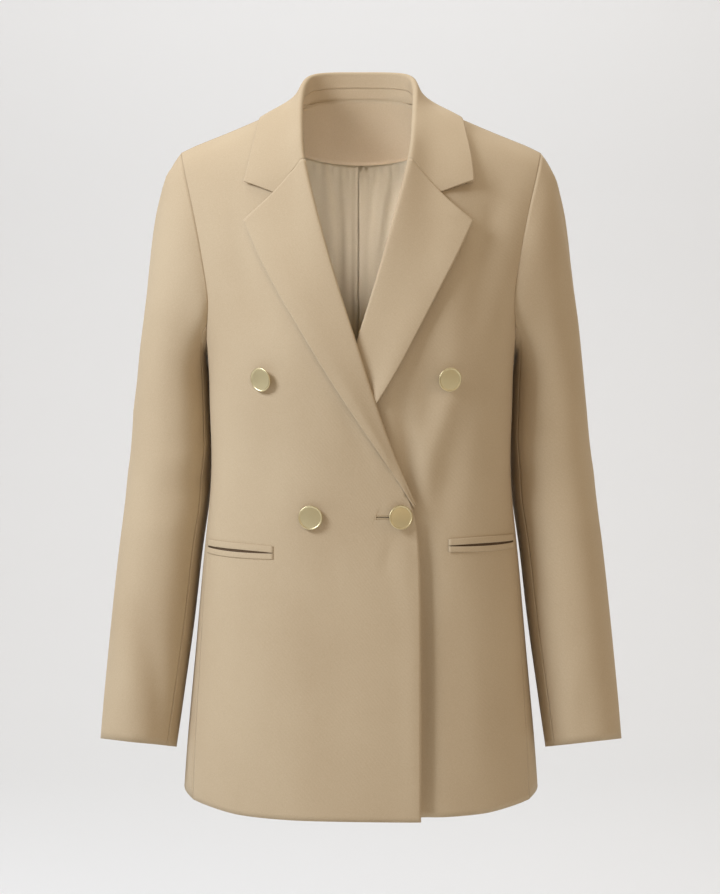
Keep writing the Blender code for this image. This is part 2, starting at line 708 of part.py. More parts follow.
def cloth_wall(columns, rows, point_at, thick, mirror, outer=0.0, normal_at=None, trims=None):
    """Closed wall over a grid. The face at `outer` above the function's surface is the outside.

    point_at takes u and v from 0 to 1 and works a little past both ends. trims names the
    edges, of u0, u1, v0 and v1, that stand back by half a seam gap.
    """
    step = WALL_STEP
    trims = trims if trims is not None else ("u0", "u1", "v0", "v1")
    shape = bmesh.new()
    bmesh.ops.create_grid(shape, x_segments=columns, y_segments=rows, size=0.5)
    grown = bmesh.ops.extrude_face_region(shape, geom=shape.faces[:], use_keep_orig=True)
    new_verts = [item for item in grown["geom"] if isinstance(item, bmesh.types.BMVert)]
    bmesh.ops.translate(shape, vec=(0.0, 0.0, 1.0), verts=new_verts)

    placed = []
    for vert in shape.verts:
        u = round((vert.co.x + 0.5) * columns) / columns
        v = round((vert.co.y + 0.5) * rows) / rows
        point = point_at(u, v)
        normal = normal_at(u, v) if normal_at else None
        if normal is None:
            normal = surface_normal(point_at, u, v, step)
        for edge, at_edge, du, dv in (("u0", u == 0.0, step, 0.0), ("u1", u == 1.0, -step, 0.0),
                                      ("v0", v == 0.0, 0.0, step), ("v1", v == 1.0, 0.0, -step)):
            if at_edge and edge in trims:
                inward = point_at(u + du, v + dv) - point_at(u, v)
                point += inward.normalized() * (0.5 * SEAM_GAP)
        placed.append((vert, point, normal, vert.co.z))
    for vert, point, normal, layer in placed:
        lifted = point + normal * (outer - thick * layer)
        vert.co = Vector((lifted.x * mirror, lifted.y, lifted.z))
    bmesh.ops.recalc_face_normals(shape, faces=shape.faces[:])
    if shape.calc_volume(signed=True) < 0.0:
        bmesh.ops.reverse_faces(shape, faces=shape.faces[:])
    return shape


# ---------------------------------------------------------------- panels of the body
LOW_ROWS = 13                # rows from the hem to the underarm, shared by all body panels
LOW_BIAS = 0.25              # makes the low rows closer together at the top than at the hem
FRONT_COLUMNS = 12
FRONT_ROWS = round(FRONT_JOIN / TURN_STEP)
SIDE_COLUMNS = round((BACK_JOIN - FRONT_JOIN) / TURN_STEP)
BACK_COLUMNS = 9
BACK_NECK_COLUMN = 5         # the back's column that ends at the neck point
BACK_ROWS = round((360.0 - BACK_JOIN) / TURN_STEP)
FRONT_LOW = LOW_ROWS / (LOW_ROWS + FRONT_ROWS)
BACK_LOW = LOW_ROWS / (LOW_ROWS + BACK_ROWS)


def hem(angle):
    return smooth_row(HEM, "angle", angle, "z")


def low_share(share):
    return share + LOW_BIAS * share * (1.0 - share)


def side_seam(column, join, share):
    """Angle and height on a side seam, from the hem, 0, to the armhole, 1."""
    top = armhole(join, "z")
    shift = armhole(join, "angle") - smooth_row(SIDE_SEAMS, "z", top, column)
    z = blend(HEM[0].z, top, share)
    for _ in range(4):
        angle = smooth_row(SIDE_SEAMS, "z", z, column) + shift * share
        z = blend(hem(angle), top, share)
    return angle, z


def under_crest(angle, low, rise, top_at, start_x):
    """Point on a line of constant angle, a share of the way up from low to the top edge."""
    x = start_x
    for _ in range(5):
        z = blend(low, top_at(x), rise)
        point = form_by_angle(angle, z)
        x = point.x
    return point


def crest_z(x):
    return ridge(x, "z")


def back_top(x):
    if abs(x) >= NECK_POINT:
        return ridge(x, "z")
    return smooth_row(BACK_NECK, "x", abs(x), "z")


def armhole_rise(turn, low):
    """Share of the way up from a low line to the shoulder seam at a place on the armhole."""
    point = armhole_point(turn)
    return (point.z - low) / (ridge(point.x, "z") - low)


def front_point(side, u, v):
    """Front panel: u from its inner edge to the side, v from the hem to the shoulder seam."""
    top = armhole(FRONT_JOIN, "z")
    if v <= FRONT_LOW:
        share = low_share(v / FRONT_LOW)
        seam_angle, _ = side_seam("front_angle", FRONT_JOIN, share)
        lift = UNDER_HEM_LIFT if side == "left" else 0.0
        edge_z = blend(hem(0.0) + lift, top, share)
        inner_angle = angle_of(front_edge_x(side, edge_z), edge_z)
        angle = blend(inner_angle, seam_angle, u)
        z = blend(hem(angle) + lift * (1.0 - u), top, share)
        point = form_by_angle(angle, z)
    else:
        share = (v - FRONT_LOW) / (1.0 - FRONT_LOW)
        over_crest = share > 1.0
        if over_crest:
            share = 2.0 - share
        turn = FRONT_JOIN * (1.0 - share)
        rise = armhole_rise(turn, top)
        edge_z = blend(top, crest_z(NECK_POINT), rise)
        for _ in range(3):
            edge_x = front_edge_x(side, edge_z)
            edge_z = blend(top, crest_z(edge_x), rise)
        angle = blend(angle_of(edge_x, edge_z), armhole(turn, "angle"), u)
        start_x = blend(edge_x, armhole_point(turn).x, u)
        point = under_crest(180.0 - angle if over_crest else angle, top, rise, crest_z, start_x)
        if over_crest:
            return point
    point.y -= lap_height(side, point.x, point.z) + fold_depth(side, point.x, point.z)
    return point


def side_point(u, v):
    """Side panel: u from the front seam to the back seam, v from the hem to the underarm."""
    turn = blend(FRONT_JOIN, BACK_JOIN, u)
    start = armhole(FRONT_JOIN, "angle")
    across = (armhole(turn, "angle") - start) / (armhole(BACK_JOIN, "angle") - start)
    share = low_share(v)
    front_angle, _ = side_seam("front_angle", FRONT_JOIN, share)
    back_angle, _ = side_seam("back_angle", BACK_JOIN, share)
    angle = blend(front_angle, back_angle, across)
    return form_by_angle(angle, blend(hem(angle), armhole(turn, "z"), share))


def neck_share():
    """Share of the back's width, from the armhole, at which the neck point lies."""
    side_angle = armhole(360.0, "angle")
    neck_angle = 180.0 - angle_of(NECK_POINT, crest_z(NECK_POINT))
    return (neck_angle - side_angle) / (180.0 - side_angle)


def back_point(u, v):
    """Back panel: u from the side to the centre back, v from the hem to the shoulder."""
    bend = BACK_NECK_COLUMN / BACK_COLUMNS
    share_in = neck_share()
    if u <= bend:
        across = u / bend * share_in
    else:
        across = blend(share_in, 1.0, (u - bend) / (1.0 - bend))
    top = armhole(BACK_JOIN, "z")
    if v <= BACK_LOW:
        share = low_share(v / BACK_LOW)
        seam_angle, _ = side_seam("back_angle", BACK_JOIN, share)
        angle = blend(seam_angle, 180.0, across)
        return form_by_angle(angle, blend(hem(min(angle, 180.0)), top, share))
    share = (v - BACK_LOW) / (1.0 - BACK_LOW)
    over_crest = share > 1.0 and u <= bend
    if over_crest:
        share = 2.0 - share
    turn = min(blend(BACK_JOIN, 360.0, share), 359.9999)
    rise = armhole_rise(turn, top)
    if share > 1.0:
        rise = share
    angle = blend(armhole(turn, "angle"), 180.0, across)
    start_x = armhole_point(turn).x * (1.0 - across)
    return under_crest(180.0 - angle if over_crest else angle, top, rise, back_top, start_x)


# ---------------------------------------------------------------- building the pieces
SIDES = (("right", -1.0), ("left", 1.0))
BUTTON_STEPS = 20
FACING_COLUMNS = 6           # on each side of the centre back
FACING_SHARE = 6 / BACK_COLUMNS
LINING_START = 0.3           # columns of the back that the lining leaves free at the side
LINING_ROWS = LOW_ROWS + 7
WALL_STEP = 0.004            # share over which a surface's normal is taken


def build_fronts(parts, cloth):
    fronts = {}
    for side, mirror in SIDES:
        def point_at(u, v, side=side):
            return front_point(side, u, v)

        def normal_at(u, v):
            if u == 1.0 and v >= FRONT_LOW:
                return armhole_normal(FRONT_JOIN * (1.0 - v) / (1.0 - FRONT_LOW))
            return None

        shape = cloth_wall(FRONT_COLUMNS, LOW_ROWS + FRONT_ROWS, point_at, SUITING, mirror,
                           normal_at=normal_at)
        fronts[side] = add_object("front_" + side, shape, cloth, parts)
    return fronts


def build_sides(parts, cloth):
    for side, mirror in SIDES:
        def normal_at(u, v):
            if v == 1.0:
                return armhole_normal(blend(FRONT_JOIN, BACK_JOIN, u))
            return None

        shape = cloth_wall(SIDE_COLUMNS, LOW_ROWS, side_point, SUITING, mirror,
                           normal_at=normal_at)
        add_object("side_" + side, shape, cloth, parts)


def build_backs(parts, cloth):
    for side, mirror in SIDES:
        def normal_at(u, v):
            if u == 0.0 and v >= BACK_LOW:
                return armhole_normal(blend(BACK_JOIN, 360.0, (v - BACK_LOW) / (1.0 - BACK_LOW)))
            return None

        shape = cloth_wall(BACK_COLUMNS, LOW_ROWS + BACK_ROWS, back_point, SUITING, mirror,
                           normal_at=normal_at)
        add_object("back_" + side, shape, cloth, parts)


def build_sleeves(parts, cloth):
    halves = (("upper", HIND_SEAM - 360.0, FORE_SEAM), ("under", FORE_SEAM, HIND_SEAM))
    for side, mirror in SIDES:
        for half, start, end in halves:
            def point_at(u, v, start=start, end=end):
                return sleeve_point(blend(start, end, u), v)

            def normal_at(u, v, start=start, end=end):
                if v == 0.0:
                    return armhole_normal(blend(start, end, u))
                return None

            columns = round((end - start) / TURN_STEP)
            shape = cloth_wall(columns, CAP_ROWS + ARM_ROWS, point_at, SUITING, mirror,
                               normal_at=normal_at)
            add_object(f"sleeve_{side}_{half}", shape, cloth, parts)


LAPEL_PLACES = (0.12, 0.30, 0.35, 0.40, 0.45, 0.50, 0.58, 0.68, 0.80, 0.90, 1.00)
LAPEL_ROWS = 14
COLLAR_PLACES = (0.15, 0.30, 0.35, 0.40, 0.45, 0.50, 0.60, 0.70, 0.80, 0.90, 1.00)
COLLAR_STATIONS = (0.0, 0.10, 0.20, 0.30, 0.38, 0.44, 0.48, 0.51, 0.54, 0.57, 0.61, 0.67, 0.73,
                   0.79, 0.85, 0.90, 0.95, 1.0)
COLLAR_COLUMNS = 2 * (len(COLLAR_STATIONS) - 1)
STAND_TOP = 0.15


def build_lapels(parts, cloth):
    for side, mirror in SIDES:
        def point_at(u, v, side=side):
            return lapel_section(side, v, spaced(LAPEL_PLACES, u))

        shape = cloth_wall(len(LAPEL_PLACES) - 1, LAPEL_ROWS, point_at, SUITING, mirror,
                           outer=0.5 * SUITING)
        add_object("lapel_" + side, shape, cloth, parts)


def collar_at(across, place):
    """Collar section from the right gorge, -1, over the centre back, 0, to the left, 1."""
    side, mirror = ("left", 1.0) if across >= 0.0 else ("right", -1.0)
    point = collar_section(side, spaced(COLLAR_STATIONS, abs(across)), place)
    point.x *= mirror
    return point


def build_collar(parts, cloth):
    def collar_point(u, v):
        return collar_at(2.0 * u - 1.0, spaced(COLLAR_PLACES, v))

    def stand_point(u, v):
        return collar_at(2.0 * u - 1.0, STAND_TOP * v)

    shape = cloth_wall(COLLAR_COLUMNS, len(COLLAR_PLACES) - 1, collar_point, SUITING, 1.0,
                       outer=0.5 * SUITING)
    add_object("collar", shape, cloth, parts)
    shape = cloth_wall(COLLAR_COLUMNS, 2, stand_point, SUITING, 1.0, outer=0.5 * SUITING)
    add_object("collar_stand", shape, cloth, parts)


@lru_cache(maxsize=None)
def back_corner(column, row):
    """Point and outward normal at a corner of the back panel's grid."""
    u = column / BACK_COLUMNS
    v = row / (LOW_ROWS + BACK_ROWS)
    return back_point(u, v), surface_normal(back_point, u, v, WALL_STEP)


def back_sheet(u, v):
    """Point and normal on the flat facets between the corners of the back panel's grid."""
    across = u * BACK_COLUMNS
    along = v * (LOW_ROWS + BACK_ROWS)
    column = min(int(across), BACK_COLUMNS - 1)
    row = min(int(along), LOW_ROWS + BACK_ROWS - 1)
    found = []
    for item in (0, 1):
        low = back_corner(column, row)[item].lerp(back_corner(column + 1, row)[item],
                                                  across - column)
        high = back_corner(column, row + 1)[item].lerp(back_corner(column + 1, row + 1)[item],
                                                       across - column)
        found.append(low.lerp(high, along - row))
    return found[0], found[1].normalized()


def height_on_back(u, limit):
    """Share v of the back panel at which a line of constant u reaches a limit of x."""
    low, high = BACK_LOW, 1.0
    for _ in range(20):
        middle = 0.5 * (low + high)
        point = back_sheet(u, middle)[0]
        if point.z < limit(point.x):
            low = middle
        else:
            high = middle
    return 0.5 * (low + high)


def facing_low(x):
    return FACING_LOW + FACING_CURVE * x * x


def inner_top(x):
    return min(back_top(x), crest_z(x) - CREST_CLEAR)


def lining_top(x):
    return min(facing_low(x) - SEAM_GAP, inner_top(x))


def facing_place(u, v):
    """Back panel's u and v under the facing, u from its left end to its right."""
    across = 1.0 - abs(2.0 * u - 1.0) * FACING_SHARE
    low = height_on_back(across, facing_low)
    return across, blend(low, height_on_back(across, inner_top), v)


def facing_point(u, v):
    point, _ = back_sheet(*facing_place(u, v))
    point.x = math.copysign(point.x, 0.5 - u)
    return point


def facing_normal(u, v):
    _, normal = back_sheet(*facing_place(u, v))
    normal.x = math.copysign(normal.x, 0.5 - u)
    return normal


def lining_place(u, v):
    """Back panel's u and v under the lining: the panel's own rows, then its cut top."""
    bottom = HEM_TURN / (armhole(BACK_JOIN, "z") - HEM[0].z) * BACK_LOW
    top = height_on_back(u, lining_top)
    row = v * LINING_ROWS
    if row <= LOW_ROWS:
        return u, max(bottom, BACK_LOW * row / LOW_ROWS)
    return u, blend(BACK_LOW, top, (row - LOW_ROWS) / (LINING_ROWS - LOW_ROWS))


def lining_share(u):
    """Back panel's u for the lining's own, from the side to the centre back."""
    return max(u, LINING_START / BACK_COLUMNS)


def lining_point(u, v):
    return back_sheet(*lining_place(lining_share(u), v))[0]


def lining_normal(u, v):
    return back_sheet(*lining_place(lining_share(u), v))[1]


def build_inside(parts, cloth, satin):
    inner_face = -(SUITING + LAYER_GAP)
    shape = cloth_wall(2 * FACING_COLUMNS, 4, facing_point, FACING_WALL, 1.0, outer=inner_face,
                       normal_at=facing_normal, trims=())
    add_object("neck_facing", shape, cloth, parts)
    for side, mirror in SIDES:
        shape = cloth_wall(BACK_COLUMNS, LINING_ROWS, lining_point, SATIN, mirror,
                           outer=inner_face, normal_at=lining_normal, trims=("u1",))
        add_object("lining_" + side, shape, satin, parts)


# Height of each pocket's slit at its inner and outer end.
POCKET_SLITS = {"right": (-0.4478, -0.4451), "left": (-0.4407, -0.4399)}


def welt_point(side, inner_z, outer_z, u, v):
    """Surface under a welt: u along the pocket from its inner end, v from its lower edge up."""
    slit = POCKET_SLITS[side]
    z = blend(slit[0], slit[1], u) + blend(inner_z, outer_z, v)
    start = angle_of(POCKET_INNER, z)
    point = form_by_angle(blend(start, POCKET_OUTER_ANGLE, u), z)
    point.y -= lap_height(side, point.x, z) + fold_depth(side, point.x, z)
    return point


def build_pockets(parts, cloth):
    half_slit = 0.5 * POCKET_SLIT
    strips = (("upper", half_slit, half_slit + UPPER_WELT_WIDTH),
              ("lower", -half_slit - LOWER_WELT_WIDTH, -half_slit))
    for side, mirror in SIDES:
        for name, low, high in strips:
            def point_at(u, v, side=side, low=low, high=high):
                return welt_point(side, low, high, u, v)

            shape = cloth_wall(9, 2, point_at, WELT, mirror, outer=LAYER_GAP + WELT)
            add_object(f"pocket_{side}_{name}_welt", shape, cloth, parts)


# ---------------------------------------------------------------- buttons
Button = namedtuple("Button", "name side x z")
FASTENED_X = -0.0390
LOW_BUTTONS = -0.4110
BUTTONS = (
    Button("button_upper_right", "right", 0.0980, -0.2730),
    Button("button_upper_left", "left", 0.0880, -0.2730),
    Button("button_lower_right", "right", 0.0500, LOW_BUTTONS),
    Button("button_fastened", "right", FASTENED_X, LOW_BUTTONS),
)


def own_place(side, x, z):
    """Point on a front's outer face and the outward normal there, in world space."""
    mirror = -1.0 if side == "right" else 1.0
    point = front_at(side, x, z)
    normal = (front_at(side, x, z, 0.001) - point).normalized()
    return (Vector((point.x * mirror, point.y, point.z)),
            Vector((normal.x * mirror, normal.y, normal.z)))


def turned_button(name, shank_depth, metal, parts):
    """Flat disc with a raised rim on a shank; local Z points away from the cloth."""
    rim_top = SHANK_CLEAR + BUTTON_THICK
    face = rim_top - 0.0004
    profile = (
        (0.0, face),
        (BUTTON_RADIUS - BUTTON_RIM - 0.0006, face),
        (BUTTON_RADIUS - BUTTON_RIM, rim_top),
        (BUTTON_RADIUS - 0.0003, rim_top - 0.0002),
        (BUTTON_RADIUS, rim_top - 0.0009),
        (BUTTON_RADIUS - 0.0012, SHANK_CLEAR),
        (SHANK_RADIUS, SHANK_CLEAR),
        (SHANK_RADIUS, -shank_depth),
        (0.0, -shank_depth),
    )
    shape = bmesh.new()
    points = [shape.verts.new((radius, 0.0, height)) for radius, height in profile]
    for first, second in zip(points, points[1:]):
        shape.edges.new((first, second))
    button = add_object(name, shape, metal, parts)
    screw = button.modifiers.new("turn", "SCREW")
    screw.axis = "Z"
    screw.steps = BUTTON_STEPS
    screw.render_steps = BUTTON_STEPS
    screw.use_merge_vertices = True
    screw.merge_threshold = 0.0001
    return button


def build_buttons(parts, metal):
    for item in BUTTONS:
        place, normal = own_place(item.side, item.x, item.z)
        depth = -LAYER_GAP
        if item.name == "button_fastened":
            under, _ = own_place("left", -item.x, item.z)
            depth = (place - under).dot(normal) - LAYER_GAP
        button = turned_button(item.name, depth, metal, parts)
        button.location = place
        button.rotation_euler = Vector((0.0, 0.0, 1.0)).rotation_difference(normal).to_euler()


def cut_buttonhole(front, cutters):
    """Keyhole buttonhole in the upper front: a slot and a round eye for the shank."""
    place, normal = own_place("right", FASTENED_X, LOW_BUTTONS)
    facing_out = Vector((0.0, 0.0, 1.0)).rotation_difference(normal)
    bpy.ops.mesh.primitive_cylinder_add(vertices=16, radius=EYELET_RADIUS, depth=0.008,
                                        location=place, rotation=facing_out.to_euler())
    eye = bpy.context.object
    middle, slot_normal = own_place("right", FASTENED_X + 0.5 * BUTTONHOLE_LENGTH, LOW_BUTTONS)
    across = (place - middle).normalized()
    upward = slot_normal.cross(across)
    frame = Matrix((across, upward, slot_normal)).transposed().to_4x4()
    bpy.ops.mesh.primitive_cube_add(size=1.0)
    slot = bpy.context.object
    slot.data.transform(Matrix.Diagonal((BUTTONHOLE_LENGTH, BUTTONHOLE_WIDTH, 0.008, 1.0)))
    slot.matrix_world = Matrix.Translation(middle) @ frame
    for name, cutter in (("eye", eye), ("slot", slot)):
        cutter.name = "buttonhole_" + name
        cutter.hide_render = True
        cutter.display_type = "WIRE"
        for holder in list(cutter.users_collection):
            holder.objects.unlink(cutter)
        cutters.objects.link(cutter)
        cut = front.modifiers.new("buttonhole_" + name, "BOOLEAN")
        cut.operation = "DIFFERENCE"
        cut.object = cutter


def main():
    for old in list(bpy.data.objects):
        bpy.data.objects.remove(old, do_unlink=True)
    parts = bpy.data.collections.new("double_breasted_blazer")
    cutters = bpy.data.collections.new("cutters")
    for collection in (parts, cutters):
        bpy.context.scene.collection.children.link(collection)

    suiting = make_material("camel suiting", CAMEL, 0.85)
    satin = make_material("beige satin lining", LINING_BEIGE, 0.45)
    metal = make_material("satin gold metal", GOLD, 0.35, 1.0)

    fronts = build_fronts(parts, suiting)
    build_sides(parts, suiting)
    build_backs(parts, suiting)
    build_sleeves(parts, suiting)
    build_lapels(parts, suiting)
    build_collar(parts, suiting)
    build_inside(parts, suiting, satin)
    build_pockets(parts, suiting)
    build_buttons(parts, metal)
    cut_buttonhole(fronts["right"], cutters)


main()
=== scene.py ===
# %% [markdown]
# # A double breasted blazer in camel suiting
# The blazer is shown filled out, with nobody in it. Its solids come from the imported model:
# every cut piece is a thin, rather coarse wall. Here each wall is copied, made smooth and given
# soft creases, and then cloth, lining and metal get their finish. Metres, +Z up, -Y in front.
# Right and left are the wearer's own, so the right side has negative x.

# %% Load the solids and keep their size
import json
import math
from collections import namedtuple

import bmesh
import bpy
import numpy as np
from mathutils import Matrix, Vector

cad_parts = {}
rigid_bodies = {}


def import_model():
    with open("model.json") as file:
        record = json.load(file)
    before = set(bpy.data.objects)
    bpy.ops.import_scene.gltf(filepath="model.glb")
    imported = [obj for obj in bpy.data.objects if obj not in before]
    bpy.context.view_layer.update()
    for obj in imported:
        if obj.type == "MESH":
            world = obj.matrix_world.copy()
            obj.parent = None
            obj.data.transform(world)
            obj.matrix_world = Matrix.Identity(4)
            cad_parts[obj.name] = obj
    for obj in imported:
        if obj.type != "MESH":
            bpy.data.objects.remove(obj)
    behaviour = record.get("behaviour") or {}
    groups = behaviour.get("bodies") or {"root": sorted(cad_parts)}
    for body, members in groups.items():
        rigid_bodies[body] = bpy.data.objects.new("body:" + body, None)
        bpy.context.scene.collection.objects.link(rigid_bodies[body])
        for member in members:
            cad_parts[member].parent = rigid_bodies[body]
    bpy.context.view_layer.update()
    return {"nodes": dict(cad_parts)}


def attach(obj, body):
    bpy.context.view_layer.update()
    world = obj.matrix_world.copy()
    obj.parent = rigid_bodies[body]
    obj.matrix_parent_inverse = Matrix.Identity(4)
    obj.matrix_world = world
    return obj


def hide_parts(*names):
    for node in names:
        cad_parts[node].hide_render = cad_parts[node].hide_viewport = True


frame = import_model()
MM = 0.001
print("solids:", len(frame["nodes"]))

# %% [markdown]
# ## Three small helpers for materials
# Colours are chosen as sRGB hex values, the way a swatch is read on a screen, but a shader
# needs linear light, so one function converts them. A second one adds a node with its
# settings and links, which keeps each material short enough to read. A third starts a material.

# %% Colour and node helpers


def linear(hex_colour):
    """Linear RGBA of an sRGB hex colour, by the sRGB curve: straight near black, then a power."""
    values = [int(hex_colour[i:i + 2], 16) / 255 for i in (1, 3, 5)]
    turned = [v / 12.92 if v <= 0.04045 else ((v + 0.055) / 1.055) ** 2.4 for v in values]
    return (*turned, 1.0)


def add_node(tree, kind, settings=(), **inputs):
    """A node of a kind. Settings are attributes; inputs, by name or as _0, _1 and so on,
    are values or the sockets to link from."""
    node = tree.nodes.new(kind)
    for name, value in dict(settings).items():
        setattr(node, name, value)
    for name, value in inputs.items():
        socket = node.inputs[int(name[1:]) if name[1:].isdigit() else name.replace("_", " ")]
        if isinstance(value, bpy.types.NodeSocket):
            tree.links.new(value, socket)
        else:
            socket.default_value = value
    return node


def new_material(name):
    """A material with only its shader and its output."""
    material = bpy.data.materials.new(name)
    material.use_nodes = True
    tree = material.node_tree
    tree.nodes.clear()
    shader = tree.nodes.new("ShaderNodeBsdfPrincipled")
    output = tree.nodes.new("ShaderNodeOutputMaterial")
    tree.links.new(shader.outputs["BSDF"], output.inputs["Surface"])
    return material, tree, shader


print("camel in linear light:", [round(v, 3) for v in linear("#c3b294")])

# %% [markdown]
# ## Camera
# The jacket stands straight in front of the camera, 2.5 m away. The lens is level and the
# picture is shifted a little instead of tilting the camera, so that upright edges stay upright.

# %% Camera
CAMERA_AWAY = 2.5
METRES_PER_PIXEL = 0.00105
EYE_HEIGHT = -0.244
FRAME_WIDTH, FRAME_HEIGHT = 720, 894
CENTRE_PIXEL = (361, 350)
SENSOR = 24.0    # mm high


def add_object(name, data):
    """A new object with this data, linked to the scene."""
    thing = bpy.data.objects.new(name, data)
    bpy.context.scene.collection.objects.link(thing)
    return thing


eye = bpy.data.cameras.new("eye")
eye.sensor_fit = "VERTICAL"
eye.sensor_height = SENSOR
eye.lens = SENSOR * CAMERA_AWAY / (FRAME_HEIGHT * METRES_PER_PIXEL)
eye.shift_x = (FRAME_WIDTH / 2 - CENTRE_PIXEL[0]) / FRAME_HEIGHT
eye.shift_y = -(FRAME_HEIGHT / 2 - CENTRE_PIXEL[1]) / FRAME_HEIGHT
camera = add_object("camera", eye)
camera.location = (0.0, -CAMERA_AWAY, EYE_HEIGHT)
camera.rotation_euler = (math.pi / 2, 0.0, 0.0)
bpy.context.scene.camera = camera
print("lens:", round(eye.lens, 1), "mm, shift:", round(eye.shift_y, 3))

# %% [markdown]
# ## From a coarse wall to cloth
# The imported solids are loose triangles. Merging their corners and joining the triangles in
# pairs gives back the grid of the wall, which a Subdivision Surface can then round. It is
# applied at once, because the creases that come later move the points of the fine mesh.

# %% Copy a wall as a clean grid and round it
MERGE = 0.01 * MM
PAIR_FLAT = math.radians(60)     # two triangles become a quad if they bend less than this
PAIR_SQUARE = math.radians(80)   # and if its corners are this near to a square's
KEEP_GRID = 2.0                  # how strongly pairs that carry on the grid are preferred


def grid_of(node):
    """The node's wall as a bmesh of quads."""
    shape = bmesh.new()
    shape.from_mesh(frame["nodes"][node].data)
    bmesh.ops.remove_doubles(shape, verts=shape.verts, dist=MERGE)
    bmesh.ops.join_triangles(shape, faces=shape.faces, angle_face_threshold=PAIR_FLAT,
                             angle_shape_threshold=PAIR_SQUARE, topology_influence=KEEP_GRID)
    return shape


def mesh_of(shape, name):
    """The bmesh as a new mesh; the bmesh itself is given up."""
    mesh = bpy.data.meshes.new(name)
    shape.to_mesh(mesh)
    shape.free()
    return mesh


def applied(thing, name):
    """A smooth mesh of the object with its modifiers applied; the object itself goes."""
    ready = thing.evaluated_get(bpy.context.evaluated_depsgraph_get())
    mesh = bpy.data.meshes.new_from_object(ready)
    bpy.data.objects.remove(thing)
    mesh.name = name
    mesh.materials.clear()
    mesh.shade_smooth()
    return mesh


def finer(shape, name, levels):
    """The shape as an object, rounded by a Subdivision Surface."""
    rough = add_object(name + "_grid", mesh_of(shape, name + "_grid"))
    smooth = rough.modifiers.new("smooth", "SUBSURF")
    smooth.levels = levels
    smooth.render_levels = levels
    smooth.use_limit_surface = False
    return add_object(name, applied(rough, name))


sample = grid_of("back_right")
quads = sum(len(face.verts) == 4 for face in sample.faces)
print("back_right:", len(sample.faces), "faces,", quads, "of them quads")
sample.free()

# %% [markdown]
# ## Rims and seams
# A pressed edge of cloth is thin and firm but no knife edge. So the rims of a wall are
# creased, which keeps them crisp under the rounding, and pinched a little thinner. The solids
# stand 0.3 mm apart at each seam, and rounding takes off a little more, so every rim is first
# pushed out by that much, which closes the seam.

# %% Crease, close and pinch the rims
SEAM_CLOSE = 0.30 * MM
WALL_MOST = 2.4 * MM               # an edge across a rim is shorter than this
RIM_ANGLE = math.radians(50)       # two faces that meet at a rim bend more than this
CORNER_ANGLE = math.radians(152)   # where a rim turns more sharply than this, it has a corner
SAME_WAY = 0.8                     # cosine between two normals that count as one
END_FACING = 0.75                  # cosine between a direction and a rim face that ends there


def crosses_wall(edge):
    """Whether an edge goes from one face of the wall to the other."""
    return edge.calc_length() < WALL_MOST


def rims_of(shape):
    """The edges where the wall turns from its face to its rim."""
    return {e for e in shape.edges if len(e.link_faces) == 2 and e.calc_face_angle() > RIM_ANGLE}


def rim_normals(shape, rims):
    """The corners of the narrow rim faces, each with the normals of those faces."""
    found = {}
    for face in shape.faces:
        if sum(edge in rims for edge in face.edges) >= 2 and any(map(crosses_wall, face.edges)):
            for vert in face.verts:
                found.setdefault(vert, []).append(face.normal.copy())
    return found


def has_corner(vert, rims):
    """Whether the rim turns sharply at this point."""
    along = [edge for edge in vert.link_edges if edge in rims and not crosses_wall(edge)]
    if len(along) != 2:
        return False
    first, second = ((edge.other_vert(vert).co - vert.co).normalized() for edge in along)
    return first.angle(second) < CORNER_ANGLE


def push_of(normals):
    """The sum of the normals that point different ways."""
    distinct = []
    for normal in normals:
        if all(normal.dot(other) < SAME_WAY for other in distinct):
            distinct.append(normal)
    return sum(distinct, Vector())


def finish_rims(shape, softness, pinch):
    """Creases the wall's rims, closes its seams and thins its edges."""
    shape.normal_update()
    crease = shape.edges.layers.float.new("crease_edge")
    corner = shape.verts.layers.float.new("crease_vert")
    rims = rims_of(shape)
    for edge in rims:
        edge[crease] = softness
    normals = rim_normals(shape, rims)
    for vert in normals:
        if has_corner(vert, rims):
            vert[corner] = 1.0
    for vert in normals:
        vert.co += push_of(normals[vert]) * SEAM_CLOSE
    across = [e for e in shape.edges if crosses_wall(e) and all(v in normals for v in e.verts)]
    for edge in across:
        middle = (edge.verts[0].co + edge.verts[1].co) / 2
        for vert in edge.verts:
            vert.co = vert.co.lerp(middle, pinch)


def move_rim(shape, seen_at, shift):
    """Moves the rim's outer and inner corner nearest to a place (x, z) seen from the front."""
    spot = Vector((seen_at[0], 0, seen_at[1]))
    rim = [v for v in shape.verts if any(e.calc_face_angle(0) > RIM_ANGLE for e in v.link_edges)]
    rim.sort(key=lambda v: (Vector((v.co.x, 0, v.co.z)) - spot).length)
    for vert in rim[:2]:
        vert.co += Vector(shift)


def reach_out(shape, direction, amount):
    """Moves the rim that faces a direction that way, to lie under the next piece."""
    shape.normal_update()
    ends = {vert for face in shape.faces
            if face.normal.dot(direction) > END_FACING and any(map(crosses_wall, face.edges))
            for vert in face.verts}
    for vert in ends:
        vert.co += direction * amount
    return len(ends)


sample = grid_of("back_right")
print("back_right:", len(rims_of(sample)), "edges along its rims")
sample.free()

# %% [markdown]
# ## Creases
# Real cloth is never a smooth shell. It drags between the points that hold it: shoulders,
# underarms, elbows, waist and buttons. Cloth simulation would find its own folds, but these
# have to lie where this jacket has them, so each one is a row in a table: a line on the cloth,
# with a width and a height. A positive height is a ridge and a negative one a trough.

